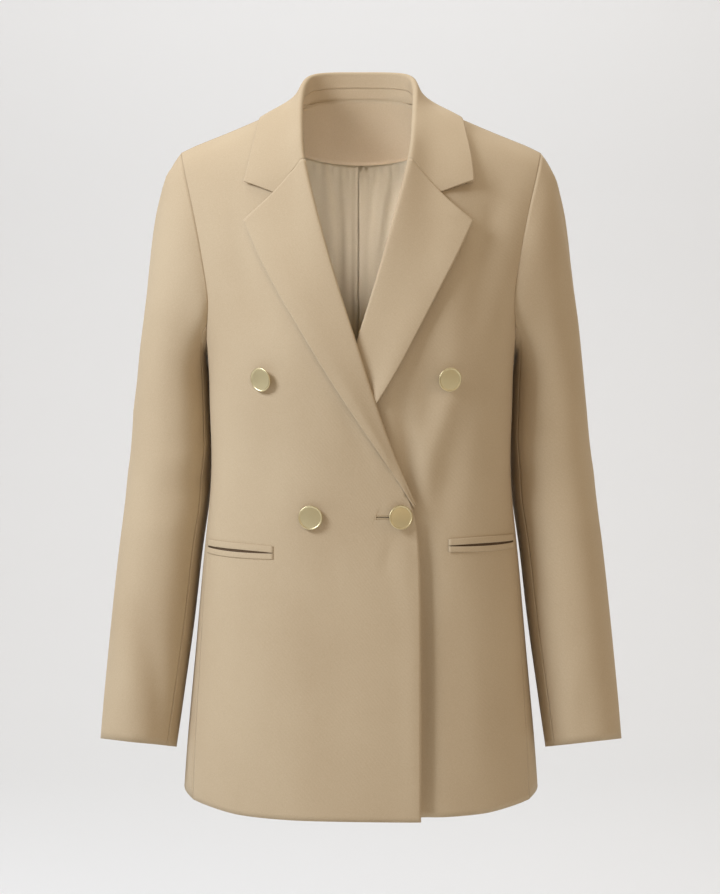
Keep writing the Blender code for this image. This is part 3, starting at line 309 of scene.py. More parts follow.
# %% Where the body has its folds
# From (x0, z0) to (x1, z1), bowed sideways, on a piece or on the whole front or back:
Fold = namedtuple("Fold", "face x0 z0 x1 z1 bow width height")
BODY_FOLDS = (
    # the under-front drags from the upper button towards the fastened one
    Fold("front_left", 0.0900, -0.283, 0.0610, -0.394, 0.002, 0.015, 0.0052),
    Fold("front_left", 0.0400, -0.285, 0.0570, -0.400, 0.002, 0.010, -0.0048),
    Fold("front_left", 0.1080, -0.300, 0.0800, -0.405, 0.003, 0.015, -0.0022),
    # it lies low beside the upper front's edge, which rolls forwards a little
    Fold("front_left", 0.0630, -0.425, 0.0630, -0.735, 0.0, 0.0105, -0.0056),
    Fold("front_right", 0.0530, -0.450, 0.0530, -0.715, 0.0, 0.011, 0.0020),
    # drags from the underarm towards the chest, on both sides
    Fold("front", 0.1400, -0.090, 0.1180, -0.200, 0.004, 0.013, -0.0016),
    Fold("front", 0.1250, -0.100, 0.1050, -0.210, 0.004, 0.012, 0.0012),
    Fold("front", -0.1350, -0.090, -0.1150, -0.190, -0.004, 0.013, -0.0012),
    # below the right lapel's edge
    Fold("front", -0.0250, -0.290, 0.0080, -0.350, -0.002, 0.011, -0.0014),
    Fold("front", -0.0100, -0.300, 0.0220, -0.372, -0.002, 0.010, 0.0010),
    # puckers under the buttons
    Fold("front", 0.0330, -0.432, 0.0220, -0.470, 0.001, 0.006, -0.0009),
    Fold("front", 0.0450, -0.436, 0.0430, -0.500, 0.001, 0.008, 0.0009),
    Fold("front", -0.0350, -0.440, -0.0150, -0.500, 0.003, 0.013, -0.0010),
    # long soft waves in the skirt
    Fold("front", -0.0900, -0.520, -0.1050, -0.700, 0.004, 0.022, 0.0018),
    Fold("front", -0.0350, -0.540, -0.0300, -0.700, -0.003, 0.024, -0.0014),
    Fold("front", 0.1150, -0.520, 0.1220, -0.700, 0.004, 0.018, 0.0016),
    # at the back: shoulder blades, waist and skirt
    Fold("back", 0.1350, -0.120, 0.1050, -0.260, 0.006, 0.016, -0.0022),
    Fold("back", -0.1300, -0.125, -0.1020, -0.250, -0.006, 0.016, -0.0020),
    Fold("back", 0.0950, -0.330, 0.0300, -0.352, 0.004, 0.012, 0.0016),
    Fold("back", -0.1000, -0.338, -0.0350, -0.350, 0.004, 0.013, 0.0014),
    Fold("back", 0.0850, -0.372, 0.0250, -0.380, -0.003, 0.012, -0.0014),
    Fold("back", -0.0650, -0.500, -0.0850, -0.690, 0.005, 0.022, 0.0020),
    Fold("back", 0.0700, -0.510, 0.0800, -0.690, 0.005, 0.024, 0.0018),
)
print("folds on the body:", len(BODY_FOLDS))

# %% [markdown]
# ## From a row to a crease
# Across its line a fold is a soft bell curve. Along it, it is highest in the middle and fades
# out past its ends. All folds are added up, and each point of the cloth then moves out of the
# body by that sum. Moving points in numpy is quick, and the rows stay easy to change.

# %% Height of the folds
END_SHARE = 0.35    # of its middle height, what a fold still has at its two ends
FADE = 1.2          # of its width, how far past an end it dies away


def read_points(mesh):
    """The mesh's points as an array with a row for each."""
    points = np.empty(len(mesh.vertices) * 3)
    mesh.vertices.foreach_get("co", points)
    return points.reshape(-1, 3)


def write_points(mesh, points):
    """Moves the mesh's points to the rows of the array."""
    mesh.vertices.foreach_set("co", points.ravel())
    mesh.update()


def fold_height(across_at, up_at, rows, shares):
    """Sum of the folds at places on the cloth; shares says how much of each face a place is on."""
    total = np.zeros(len(across_at))
    for row in rows:
        if row.face not in shares:
            continue
        run = np.array([row.x1 - row.x0, row.z1 - row.z0])
        length = np.linalg.norm(run)
        run = run / length
        along = (across_at - row.x0) * run[0] + (up_at - row.z0) * run[1]
        across = (across_at - row.x0) * run[1] - (up_at - row.z0) * run[0]
        middle = 2 * np.clip(along / length, 0, 1) - 1
        across = across - row.bow * (1 - middle ** 2)
        past = np.maximum(np.maximum(-along, along - length), 0)
        taper = np.exp(-(past / (FADE * row.width)) ** 2)
        taper = taper * (END_SHARE + (1 - END_SHARE) * (1 - middle ** 2))
        bell = np.exp(-(across / row.width) ** 2)
        total += row.height * bell * taper * shares[row.face]
    return total


BUTTON_PLACES = [read_points(solid.data).mean(axis=0)[[0, 2]]
                 for name, solid in frame["nodes"].items() if name.startswith("button")]
print("buttons at:", [[round(float(v), 3) for v in place] for place in BUTTON_PLACES])

# %% [markdown]
# ## Moving the body's cloth
# Folds on the body push the cloth straight out of it, so each point needs that direction. It
# comes from the body's oval section. Cloth can't fold where a button is sewn through it, and a
# hem that hangs over the hips rises a little towards the sides.

# %% Crease the body
BODY_MIDDLE = -0.012                       # y of the middle of the body
BODY_HALF_WIDE, BODY_HALF_DEEP = 0.165, 0.115
SIDE_BLEND = 0.008                         # the front's folds turn into the back's over this
HELD_FLAT = 0.016                          # round a button
LEAST = 1e-9                               # keeps a division from going wrong on the axis
Ramp = namedtuple("Ramp", "start over")
HEM_RISE = 3 * MM
HEM_SIDES = Ramp(0.12, 0.05)               # from the middle outwards
HEM_LOW = Ramp(0.655, 0.05)                # from the neck downwards


def eased(value, ramp):
    """0 up to the ramp's start, 1 from its end on, and an even curve between them."""
    share = np.clip((value - ramp.start) / ramp.over, 0, 1)
    return share * share * (3 - 2 * share)


def body_out(points):
    """Direction out of the body, level, at each point."""
    out = np.stack([points[:, 0] / BODY_HALF_WIDE ** 2,
                    (points[:, 1] - BODY_MIDDLE) / BODY_HALF_DEEP ** 2,
                    np.zeros(len(points))], axis=1)
    return out / np.maximum(np.linalg.norm(out, axis=1, keepdims=True), LEAST)


def crease_body(points, node):
    """The points of a body piece, moved by the folds."""
    in_front = 1 / (1 + np.exp(points[:, 1] / SIDE_BLEND))
    shares = {"front": in_front, "back": 1 - in_front, node: 1.0}
    height = fold_height(points[:, 0], points[:, 2], BODY_FOLDS, shares)
    for x, z in BUTTON_PLACES:
        away = np.hypot(points[:, 0] - x, points[:, 2] - z)
        height *= 1 - np.exp(-(away / HELD_FLAT) ** 4)
    moved = points + body_out(points) * height[:, None]
    rise = eased(np.abs(points[:, 0]), HEM_SIDES) * eased(-points[:, 2], HEM_LOW)
    moved[:, 2] += HEM_RISE * rise
    return moved


depths = (0.66, 0.68, 0.70)
rises = [round(float(HEM_RISE * eased(depth, HEM_LOW)) / MM, 2) for depth in depths]
print("the sides rise by", rises, "mm at", depths, "m below the neck")

# %% [markdown]
# ## Lapels and collar
# A lapel is held at its roll line and at its seam with the collar, and its outer edge springs
# a few millimetres off the front. That gap casts the thin shade that makes a lapel look soft,
# so the edge is lifted, by a share that grows from the roll line to the edge.

# %% Lift the lapels and the ends of the collar
Lapel = namedtuple("Lapel", "lift roll edge")    # roll and edge: (height, outwards) low and high
LAPELS = {
    "lapel_left": Lapel(5.0 * MM, ((-0.23, -0.003), (-0.05, 0.045)),
                        ((-0.29, 0.019), (-0.115, 0.113))),
    "lapel_right": Lapel(2.4 * MM, ((-0.36, -0.037), (-0.11, 0.043)),
                         ((-0.37, -0.037), (-0.115, 0.119))),
}
LAPEL_LEAST = 0.01                # a lapel counts as at least this wide
LAPEL_TOP = Ramp(0.06, 0.05)      # below the collar's seam, which holds it down
LAPEL_FOOT = Ramp(-0.400, 0.10)   # the right one ends flat, at the fastened button
COLLAR_LIFT = {"left": 3.4 * MM, "right": 1.6 * MM}
COLLAR_SIDES = Ramp(0.070, 0.045)
COLLAR_FRONT = Ramp(0.02, 0.035)


def lift_lapel(points, node):
    """A lapel's points, its outer edge standing off a little more."""
    lapel = LAPELS[node]
    outwards = points[:, 0] * (1.0 if node == "lapel_left" else -1.0)
    roll = np.interp(points[:, 2], *zip(*lapel.roll))
    edge = np.interp(points[:, 2], *zip(*lapel.edge))
    share = eased(outwards, Ramp(roll, np.maximum(edge - roll, LAPEL_LEAST)))
    along = eased(-points[:, 2], LAPEL_TOP)
    if node == "lapel_right":
        along = along * eased(points[:, 2], LAPEL_FOOT)
    moved = points.copy()
    moved[:, 1] -= lapel.lift * share * share * along
    return moved


def lift_collar(points):
    """The collar's points, its two ends standing off the fronts a little more."""
    amount = np.where(points[:, 0] > 0, COLLAR_LIFT["left"], COLLAR_LIFT["right"])
    share = eased(np.abs(points[:, 0]), COLLAR_SIDES) * eased(-points[:, 1], COLLAR_FRONT)
    moved = points.copy()
    moved[:, 1] -= amount * share
    return moved


print("edges lifted, mm:", {node: round(lapel.lift / MM, 1) for node, lapel in LAPELS.items()})

# %% [markdown]
# ## Creases in the lining
# A lining is cut a little wider than the cloth, so that it never pulls. The extra width is
# eased into the seam under the facing, where it gathers, and hangs below it in soft waves.

# %% Gathers and waves of the lining
LINING_FOLDS = (
    Fold("inside", 0.0150, -0.052, 0.0080, -0.190, 0.001, 0.0050, 0.0027),
    Fold("inside", 0.0270, -0.050, 0.0130, -0.150, 0.002, 0.0060, -0.0030),
    Fold("inside", 0.0400, -0.045, 0.0240, -0.170, 0.002, 0.0070, 0.0033),
    Fold("inside", 0.0600, -0.045, 0.0450, -0.200, 0.002, 0.0090, -0.0020),
    # a ridge along the pleat's edge, so that a narrow dark groove is left between the two
    Fold("inside", -0.0062, -0.020, -0.0062, -0.640, 0.0, 0.0021, 0.0038),
    Fold("inside", -0.0190, -0.052, -0.0160, -0.210, -0.001, 0.0050, 0.0024),
    Fold("inside", -0.0290, -0.050, -0.0230, -0.180, -0.001, 0.0050, -0.0027),
    Fold("inside", -0.0390, -0.045, -0.0300, -0.200, -0.002, 0.0075, 0.0030),
    Fold("inside", 0.0300, -0.240, 0.0350, -0.600, 0.004, 0.0140, 0.0020),
    Fold("inside", -0.0400, -0.260, -0.0450, -0.600, 0.004, 0.0150, 0.0019),
)
SEAM_LOWEST, SEAM_CURVE = -0.0446, 1.95    # height at the middle, and its rise as 1/m of x squared
GATHER_PITCH = 8.6 * MM
GATHER_SWAY, SWAY_RUN = 0.4, 0.017         # makes the gathers uneven along the seam
GATHER_HEIGHT = 2.4 * MM
GATHER_DOWN = 0.010                        # they die away over this
GATHERS_FROM = Ramp(0.0, 0.005)            # below the seam
WAVES_FROM = Ramp(0.0, 0.012)
DEEPEST = -0.5 * MM                        # more would reach through the cloth


def crease_lining(points):
    """The lining's points, gathered at its seam and hanging in waves."""
    x, z = points[:, 0], points[:, 2]
    below = SEAM_LOWEST + SEAM_CURVE * x * x - z
    gathers = np.sin(math.tau * (x / GATHER_PITCH + GATHER_SWAY * np.sin(x / SWAY_RUN)))
    fading = np.exp(-np.maximum(below, 0) / GATHER_DOWN)
    height = GATHER_HEIGHT * gathers * eased(below, GATHERS_FROM) * fading
    waves = fold_height(x, z, LINING_FOLDS, {"inside": 1.0})
    height = height + waves * eased(below, WAVES_FROM)
    return points - body_out(points) * np.maximum(height, DEEPEST)[:, None]


print("folds in the lining:", len(LINING_FOLDS))

# %% [markdown]
# ## Creases on the sleeves
# A sleeve hangs from its head, so its folds run round it: short drags at the elbow and small
# ones above the cuff. Places on it are given as an angle round its own centre line (0 in
# front, positive away from the body) and a height. Near the armhole they fade out, because
# the seam there holds the cloth.

# %% Where the sleeves have their folds
SLEEVE_FOLDS = (  # x0 and x1 are angles in degrees here
    # drags from the inside of the elbow
    Fold("right", -70, -0.330, 20, -0.365, 0.004, 0.010, 0.0016),
    Fold("right", -80, -0.362, 10, -0.392, 0.004, 0.010, -0.0014),
    Fold("right", -60, -0.400, 45, -0.440, 0.005, 0.012, 0.0012),
    # a long drag down to the cuff
    Fold("right", 5, -0.520, -35, -0.655, 0.004, 0.014, -0.0034),
    Fold("right", 45, -0.500, 0, -0.655, 0.004, 0.015, 0.0024),
    # the outer side, and the back of the elbow
    Fold("right", 60, -0.180, 40, -0.320, 0.003, 0.016, 0.0014),
    Fold("right", 150, -0.340, 80, -0.380, 0.004, 0.012, 0.0016),
    Fold("right", 170, -0.390, 100, -0.415, 0.004, 0.011, -0.0014),
    # the left one in the same order, but first two long ones from the head
    Fold("left", 30, -0.130, 15, -0.300, 0.003, 0.014, -0.0016),
    Fold("left", 50, -0.150, 42, -0.330, 0.003, 0.015, 0.0014),
    Fold("left", -65, -0.322, 25, -0.352, 0.004, 0.010, 0.0014),
    Fold("left", -80, -0.352, 15, -0.385, 0.004, 0.011, -0.0013),
    Fold("left", -55, -0.398, 50, -0.428, 0.005, 0.012, 0.0012),
    Fold("left", 10, -0.550, -30, -0.650, 0.004, 0.013, 0.0012),
    Fold("left", 155, -0.345, 85, -0.372, 0.004, 0.012, 0.0015),
    Fold("left", 165, -0.385, 95, -0.420, 0.004, 0.012, -0.0013),
)
# The head stands up squarely on its pad and the sleeve then falls straight from it. How far
# the outer side is moved out at each height, in mm, on each sleeve:
Outer = namedtuple("Outer", "height right left")
SLEEVE_LINE = (
    Outer(-0.0300, 2.5, 2.5), Outer(-0.0434, 4.6, 4.6), Outer(-0.0560, 4.6, 3.2),
    Outer(-0.0686, 2.0, 1.0), Outer(-0.0813, 0.0, -2.0), Outer(-0.1180, -2.1, -4.2),
    Outer(-0.1495, -3.1, -5.2), Outer(-0.1810, -3.1, -4.2), Outer(-0.2125, -2.1, -2.1),
    Outer(-0.2440, 0.0, -1.0), Outer(-0.2755, 1.0, 0.0), Outer(-0.3070, 3.0, 1.0),
    Outer(-0.3385, 2.0, 1.0), Outer(-0.3700, 1.0, 1.0), Outer(-0.4200, 0.0, 0.0),
)
print("folds on the sleeves:", len(SLEEVE_FOLDS))

# %% [markdown]
# ## Moving the sleeves' cloth
# A sleeve bends a little forwards at the elbow, so its centre line is a curve. It is found
# from the solid: the middle of short slices, with a smooth polynomial through them.

# %% Crease the sleeves
SIDES = {"right": -1.0, "left": 1.0}
SLEEVE_FOOT, SLEEVE_TOP = -0.655, -0.10
SLICES, SLICE = 24, 0.025                # how many, and how far each reaches up and down
CURVE_DEGREE = 4
SLEEVE_ROUND = 0.052                     # radius that turns an angle into metres of cloth
FREE_OUTSIDE = Ramp(0.190, 0.035)        # outside the shoulder seam
FREE_BELOW = Ramp(0.205, 0.05)           # below the armhole
HEAD_SEAM = Ramp(0.184, 0.018)           # the seam at the sleeve's head doesn't move


def sleeve_middle(name):
    """Curves through the middle of a sleeve: x and y as polynomials of the height."""
    solids = [frame["nodes"][f"sleeve_{name}_{part}"] for part in ("upper", "under")]
    points = np.concatenate([read_points(solid.data) for solid in solids])
    heights = np.linspace(SLEEVE_FOOT, SLEEVE_TOP, SLICES)
    middles = []
    for z in heights:
        near = points[np.abs(points[:, 2] - z) < SLICE]
        middles.append(0.5 * (near[:, :2].min(axis=0) + near[:, :2].max(axis=0)))
    middles = np.array(middles)
    return [np.polyfit(heights, middles[:, i], CURVE_DEGREE) for i in (0, 1)]


sleeve_middles = {name: sleeve_middle(name) for name in SIDES}


def sleeve_around(points, name):
    """Angle round the sleeve in degrees, and the outward direction."""
    z = np.clip(points[:, 2], SLEEVE_FOOT, SLEEVE_TOP)
    x_curve, y_curve = sleeve_middles[name]
    out = np.stack([points[:, 0] - np.polyval(x_curve, z), points[:, 1] - np.polyval(y_curve, z),
                    np.zeros(len(points))], axis=1)
    out /= np.maximum(np.linalg.norm(out, axis=1, keepdims=True), LEAST)
    return np.degrees(np.arctan2(out[:, 0] * SIDES[name], -out[:, 1])), out


def crease_sleeve(points, name):
    """The points of a sleeve piece, moved by its folds and to its outer line."""
    angle, out = sleeve_around(points, name)
    round_at = np.radians(angle) * SLEEVE_ROUND
    rows = [row._replace(x0=math.radians(row.x0) * SLEEVE_ROUND,
                         x1=math.radians(row.x1) * SLEEVE_ROUND) for row in SLEEVE_FOLDS]
    outwards, drop = points[:, 0] * SIDES[name], -points[:, 2]
    free = np.maximum(eased(outwards, FREE_OUTSIDE), eased(drop, FREE_BELOW))
    height = fold_height(round_at, points[:, 2], rows, {name: 1.0}) * free
    outer = np.clip(np.sin(np.radians(angle)), 0, 1) ** 2 * eased(outwards, HEAD_SEAM)
    line = np.interp(drop, [-row.height for row in SLEEVE_LINE],
                     [getattr(row, name) for row in SLEEVE_LINE])
    height += line * MM * outer
    return points + out * height[:, None]


elbow = [round(float(np.polyval(curve, -0.35)), 3) for curve in sleeve_middles["left"]]
print("middle of the left sleeve at the elbow, x and y:", elbow)

# %% [markdown]
# ## The suiting
# Camel suiting is a wool blend in a fine twill: fibres of slightly different beiges are mixed
# before spinning, so close up the colour is heathered. It is matt with a faint bloom at
# grazing angles, which the sheen gives. The ribs of the real twill lie about 0.6 mm apart;
# that is finer than a pixel here, so they are drawn 3.4 mm apart and kept very shallow.

# %% Suiting and lining
TWILL_PITCH = 3.3675 * MM                     # real: 0.6 mm, too fine to show
LINING_PITCH = 2.1648 * MM                    # real: 0.2 mm, too fine to show
BAND_REPEAT = math.tau / 20                   # m between the X bands of a wave texture of scale 1
RIB_REPEAT = 2 * BAND_REPEAT / math.sqrt(2)   # the same for its diagonal bands
SPECKS = 900.0                                # to a metre: mixed fibres, coarser than real ones
CLOUDS = 9.0                                  # to a metre: the dye takes a little unevenly
FIBRE_SHARE, CLOUD_SHARE, EVEN_SHARE = 0.40, 0.35, 0.17    # what each adds to the mix
DEEP_AT, PALE_AT = 0.30, 0.78                 # where the mix has its deeper and its paler colour
RIB_DEPTH = 0.15 * MM
FUZZ_SHARE = 0.8                              # how much the fibres roughen the ribs


def cloth_material(name, pale, deep, roughness, sheen, bump, pitch):
    """Woven cloth: heathered colour and a diagonal rib, laid on the 'weave' attribute."""
    material, tree, shader = new_material(name)
    weave = add_node(tree, "ShaderNodeAttribute", {"attribute_name": "weave"})
    place = add_node(tree, "ShaderNodeTexCoord").outputs["Object"]
    fibre = add_node(tree, "ShaderNodeTexNoise", Vector=place, Scale=SPECKS, Detail=2.0,
                     Roughness=0.6)
    cloud = add_node(tree, "ShaderNodeTexNoise", Vector=place, Scale=CLOUDS, Detail=2.0)
    multiply_add = {"operation": "MULTIPLY_ADD"}
    specks = add_node(tree, "ShaderNodeMath", multiply_add, _0=fibre.outputs["Fac"],
                      _1=FIBRE_SHARE, _2=EVEN_SHARE)
    both = add_node(tree, "ShaderNodeMath", multiply_add, _0=cloud.outputs["Fac"],
                    _1=CLOUD_SHARE, _2=specks.outputs[0])
    ramp = add_node(tree, "ShaderNodeValToRGB", Fac=both.outputs[0])
    for stop, at, colour in zip(ramp.color_ramp.elements, (DEEP_AT, PALE_AT), (deep, pale)):
        stop.position = at
        stop.color = linear(colour)
    rib = add_node(tree, "ShaderNodeTexWave", {"wave_type": "BANDS", "bands_direction": "DIAGONAL"},
                   Vector=weave.outputs["Vector"], Scale=RIB_REPEAT / pitch, Distortion=0.6,
                   Detail=1.0)
    fuzzy = add_node(tree, "ShaderNodeMath", multiply_add, _0=fibre.outputs["Fac"],
                     _1=FUZZ_SHARE, _2=rib.outputs["Fac"])
    relief = add_node(tree, "ShaderNodeBump", Height=fuzzy.outputs[0], Strength=bump,
                      Distance=RIB_DEPTH)
    tree.links.new(ramp.outputs["Color"], shader.inputs["Base Color"])
    tree.links.new(relief.outputs["Normal"], shader.inputs["Normal"])
    shader.inputs["Roughness"].default_value = roughness
    shader.inputs["IOR"].default_value = 1.46
    shader.inputs["Specular IOR Level"].default_value = 0.25
    shader.inputs["Sheen Weight"].default_value = sheen
    shader.inputs["Sheen Roughness"].default_value = 0.45
    shader.inputs["Sheen Tint"].default_value = linear("#f3e6cf")
    return material


# wool-blend suiting: matt, with a little bloom
suiting = cloth_material("camel_wool_suiting", pale="#cbb99a", deep="#b7a283", roughness=0.82,
                         sheen=0.12, bump=0.18, pitch=TWILL_PITCH)
# polyester satin: paler and smoother than the cloth, so it takes soft lights
lining = cloth_material("satin_lining", pale="#cdc2a8", deep="#bcb094", roughness=0.27,
                        sheen=0.0, bump=0.08, pitch=LINING_PITCH)
print("cloths:", suiting.name, lining.name)

# %% [markdown]
# ## Button metal
# The buttons are cast zinc with a pale gold plating, brushed and lacquered: a metal with a
# fairly wide highlight. Fine scratches across the face only change the roughness.

# %% Gold plating
SCRATCHES = (250.0, 900.0, 2600.0)    # to a metre along x, y and z, so they run long along x
GLOSS_FROM, GLOSS_TO = 0.34, 0.50    # roughness
plating, tree, shader = new_material("pale_gold_plating")
place = add_node(tree, "ShaderNodeTexCoord").outputs["Object"]
stretch = add_node(tree, "ShaderNodeMapping", Vector=place, Scale=SCRATCHES)
brushed = add_node(tree, "ShaderNodeTexNoise", Vector=stretch.outputs[0], Scale=1.0, Detail=3.0)
gloss = add_node(tree, "ShaderNodeMapRange", Value=brushed.outputs["Fac"], To_Min=GLOSS_FROM,
                 To_Max=GLOSS_TO)
shader.inputs["Base Color"].default_value = linear("#ddd0a6")
shader.inputs["Metallic"].default_value = 1.0
tree.links.new(gloss.outputs["Result"], shader.inputs["Roughness"])
print("metal:", plating.name, "with a roughness of", GLOSS_FROM, "to", GLOSS_TO)

# %% [markdown]
# ## The cuts
# A tailor knows each piece by its flat cut. The table gives the greatest width and length of
# what shows of it, without seam allowances, the area inside its outline, and the pieces that
# its seams hang from. Levels say how finely it is divided: pieces with a rolled edge or small
# creases get one more. Softness creases its rims and pinch thins them.

# %% Sizes of the cuts
Cloth = namedtuple("Cloth", "levels softness pinch width length area rests_on")
CLOTHS = {
    "front_right": Cloth(3, 0.6, 0.30, 0.29, 0.74, 0.146, ["front_left", "side_right"]),
    "front_left": Cloth(3, 0.6, 0.30, 0.29, 0.74, 0.149, ["side_left"]),
    "side_right": Cloth(2, 0.6, 0.45, 0.10, 0.51, 0.043, ["back_right"]),
    "side_left": Cloth(2, 0.6, 0.45, 0.10, 0.51, 0.043, ["back_left"]),
    "back_right": Cloth(2, 0.6, 0.45, 0.22, 0.73, 0.125, ["front_right"]),
    "back_left": Cloth(2, 0.6, 0.45, 0.22, 0.73, 0.125, ["front_left"]),
    "sleeve_right_upper": Cloth(2, 0.6, 0.55, 0.23, 0.64, 0.1155, ["front_right"]),
    "sleeve_left_upper": Cloth(2, 0.6, 0.55, 0.23, 0.64, 0.1155, ["front_left"]),
    "sleeve_right_under": Cloth(2, 0.6, 0.55, 0.12, 0.50, 0.0483, ["sleeve_right_upper"]),
    "sleeve_left_under": Cloth(2, 0.6, 0.55, 0.12, 0.50, 0.0483, ["sleeve_left_upper"]),
    "lapel_right": Cloth(3, 0.6, 0.00, 0.09, 0.38, 0.0177, ["front_right"]),
    "lapel_left": Cloth(3, 0.6, 0.00, 0.09, 0.38, 0.0192, ["front_left"]),
    "collar": Cloth(3, 0.6, 0.00, 0.10, 0.46, 0.0303, ["collar_stand"]),
    "collar_stand": Cloth(2, 0.6, 0.45, 0.015, 0.37, 0.0032, ["back_right", "back_left"]),
    "neck_facing": Cloth(2, 0.6, 0.45, 0.08, 0.26, 0.0133, ["back_right", "back_left"]),
    "lining_right": Cloth(3, 0.6, 0.45, 0.19, 0.68, 0.109, ["neck_facing"]),
    "lining_left": Cloth(3, 0.6, 0.45, 0.19, 0.68, 0.109, ["neck_facing"]),
}
# A welt shows 6.6 or 5.6 mm of its width, but the table gives it as 10 mm;
# its area is the true one. A sheet's width can't be stated under 10 mm, but its area can.
WELT_AREAS = {"upper": 0.0006, "lower": 0.00052}
for side in SIDES:
    for which, area in WELT_AREAS.items():
        CLOTHS[f"pocket_{side}_{which}_welt"] = Cloth(2, 0.5, 0.35, 0.01, 0.0935, area,
                                                      [f"front_{side}"])
print("pieces to cut:", len(CLOTHS))

# %% [markdown]
# ## Details at the edges
# Sewing hides some edges: the facing and the stand run under their neighbours, and a welt is
# sewn in nearly flush and parts from the other one at the middle. The collar's end meets the
# lapel in a sharp notch, which lies between two corners of the grid, so those are moved.

# %% Notch, hidden edges and welts
Move = namedtuple("Move", "seen_at shift")    # place as (x, z), and how far it moves
NOTCH_MOVES = (
    Move((-0.0953, -0.0793), (0.0084, -0.0023, -0.0043)),
    Move((-0.0833, -0.0764), (0.0023, 0.0, -0.0009)),
    Move((0.0876, -0.0791), (-0.0090, -0.0022, -0.0045)),
    Move((0.0747, -0.0764), (-0.0019, 0.0, -0.0009)),
)
REACHES = {    # which way an edge goes to lie under the next piece, and how far
    "neck_facing": (Vector((0, 0, 1)), 2.8 * MM),
    "collar_stand": (Vector((0, 0, -1)), 1.2 * MM),
}
WELT_SINK = 0.45 * MM
WELT_PART = 0.75 * MM


def wall_of(node, cut):
    """The node's wall, its edges finished, as a smooth piece without creases."""
    shape = grid_of(node)
    if node == "collar":
        for move in NOTCH_MOVES:
            move_rim(shape, move.seen_at, move.shift)
    if node in REACHES:
        moved = reach_out(shape, *REACHES[node])
        print(node, "edge corners moved:", moved)
    finish_rims(shape, cut.softness, cut.pinch)
    return finer(shape, node + "_cloth", cut.levels)


def set_welt(points, node):
    """A welt's points, sunk in and parting from the other welt at the middle."""
    moved = points - body_out(points) * WELT_SINK
    middle, half = moved[:, 0].mean(), 0.5 * np.ptp(moved[:, 0])
    share = 1 - ((moved[:, 0] - middle) / half) ** 2
    moved[:, 2] += WELT_PART * share * (1 if "upper" in node else -1)
    return moved


print("edges that reach on:", list(REACHES))

# %% [markdown]
# ## The cloth pieces
# Every cut piece goes through the same steps: a clean grid with finished rims, rounding, an
# attribute that tells the weave how the cloth lies, and then its creases. The weave is laid
# before the creases, as a real one is, so that the ribs bend with the cloth.

# %% Build them
WEAVE_ROUND = 0.15    # radius that turns an angle round the body into metres of cloth


def lay_weave(mesh, node):
    """The 'weave' attribute: metres round the piece and metres up it."""
    points = read_points(mesh)
    if node.startswith("sleeve"):
        angle, _ = sleeve_around(points, node.split("_")[1])
        round_at = np.radians(angle) * SLEEVE_ROUND
    else:
        round_at = np.arctan2(points[:, 0], -(points[:, 1] - BODY_MIDDLE)) * WEAVE_ROUND
    values = np.stack([round_at, points[:, 2], np.zeros(len(points))], axis=1)
    layer = mesh.attributes.new("weave", "FLOAT_VECTOR", "POINT")
    layer.data.foreach_set("vector", values.ravel())


def creased(points, node):
    """The points of a piece, moved by all its folds and lifts."""
    if node.startswith("sleeve"):
        return crease_sleeve(points, node.split("_")[1])
    points = crease_body(points, node)
    if node in LAPELS:
        points = lift_lapel(points, node)
    elif node == "collar":
        points = lift_collar(points)
    elif node.startswith("lining"):
        points = crease_lining(points)
    elif node.endswith("welt"):
        points = set_welt(points, node)
    return points


pieces = {}
triangles = 0
for node, cut in CLOTHS.items():
    piece = wall_of(node, cut)
    lay_weave(piece.data, node)
    write_points(piece.data, creased(read_points(piece.data), node))
    is_lining = node.startswith("lining")
    piece.data.materials.append(lining if is_lining else suiting)
    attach(piece, "root")
    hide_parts(node)
    pieces[node] = piece
    piece.data.calc_loop_triangles()
    triangles += len(piece.data.loop_triangles)
print("cloth pieces:", len(pieces), "triangles:", triangles)

# %% [markdown]
# ## The pleat in the lining
# The spare width at the centre back is laid in a pleat, so the left half of the lining laps
# over the right one. Its folded edge is the line that shows inside the neck. It is a grid laid
# on the lining by rays, lifted towards the folded edge and given a thickness.

# %% Centre pleat
PLEAT_EDGE, PLEAT_ROOT = -2.6 * MM, 11.0 * MM    # x of the folded edge, and of where it lies flat
PLEAT_TOP, PLEAT_LENGTH = -0.0452, 0.61
PLEAT_STEPS = (10, 90)
PLEAT_LIFT = 3.4 * MM       # of the folded edge
PLEAT_CURVE = 1.3           # the power by which the lift grows towards it
PLEAT_SEWN = 0.02           # of its length, at the top, where the seam still holds it down
PLEAT_SUNK = 0.4 * MM
PLEAT_THICK = 0.5 * MM
SEAM_MISS = 0.6 * MM        # rays keep this far from the seam between the halves
BEHIND_NECK, IN_FRONT = -0.02, -0.3    # y where rays start, inside the body and in front of it


def ray_back(piece, x, z, start):
    """Where a level ray that goes straight back meets a piece, and the normal there."""
    _, place, normal, _ = piece.ray_cast(Vector((x, start, z)), Vector((0, 1, 0)))
    return place, normal


shape = bmesh.new()
bmesh.ops.create_grid(shape, x_segments=PLEAT_STEPS[0], y_segments=PLEAT_STEPS[1], size=0.5)
for vert in shape.verts:
    across, along = vert.co.x + 0.5, vert.co.y + 0.5
    x = PLEAT_EDGE + (PLEAT_ROOT - PLEAT_EDGE) * across
    z = PLEAT_TOP - PLEAT_LENGTH * along
    under = pieces["lining_left" if x > 0 else "lining_right"]
    place, _ = ray_back(under, math.copysign(max(abs(x), SEAM_MISS), x), z, BEHIND_NECK)
    lift = PLEAT_LIFT * (1 - across) ** PLEAT_CURVE * min(1.0, along / PLEAT_SEWN)
    vert.co = Vector((x, place.y - lift + PLEAT_SUNK, z))
bmesh.ops.recalc_face_normals(shape, faces=shape.faces)
pleat = add_object("lining_pleat", mesh_of(shape, "lining_pleat"))
doubled = pleat.modifiers.new("doubled", "SOLIDIFY")
doubled.thickness = PLEAT_THICK
doubled.offset = 0.0
lay_weave(pleat.data, "lining_left")
pleat.data.shade_smooth()
pleat.data.materials.append(lining)
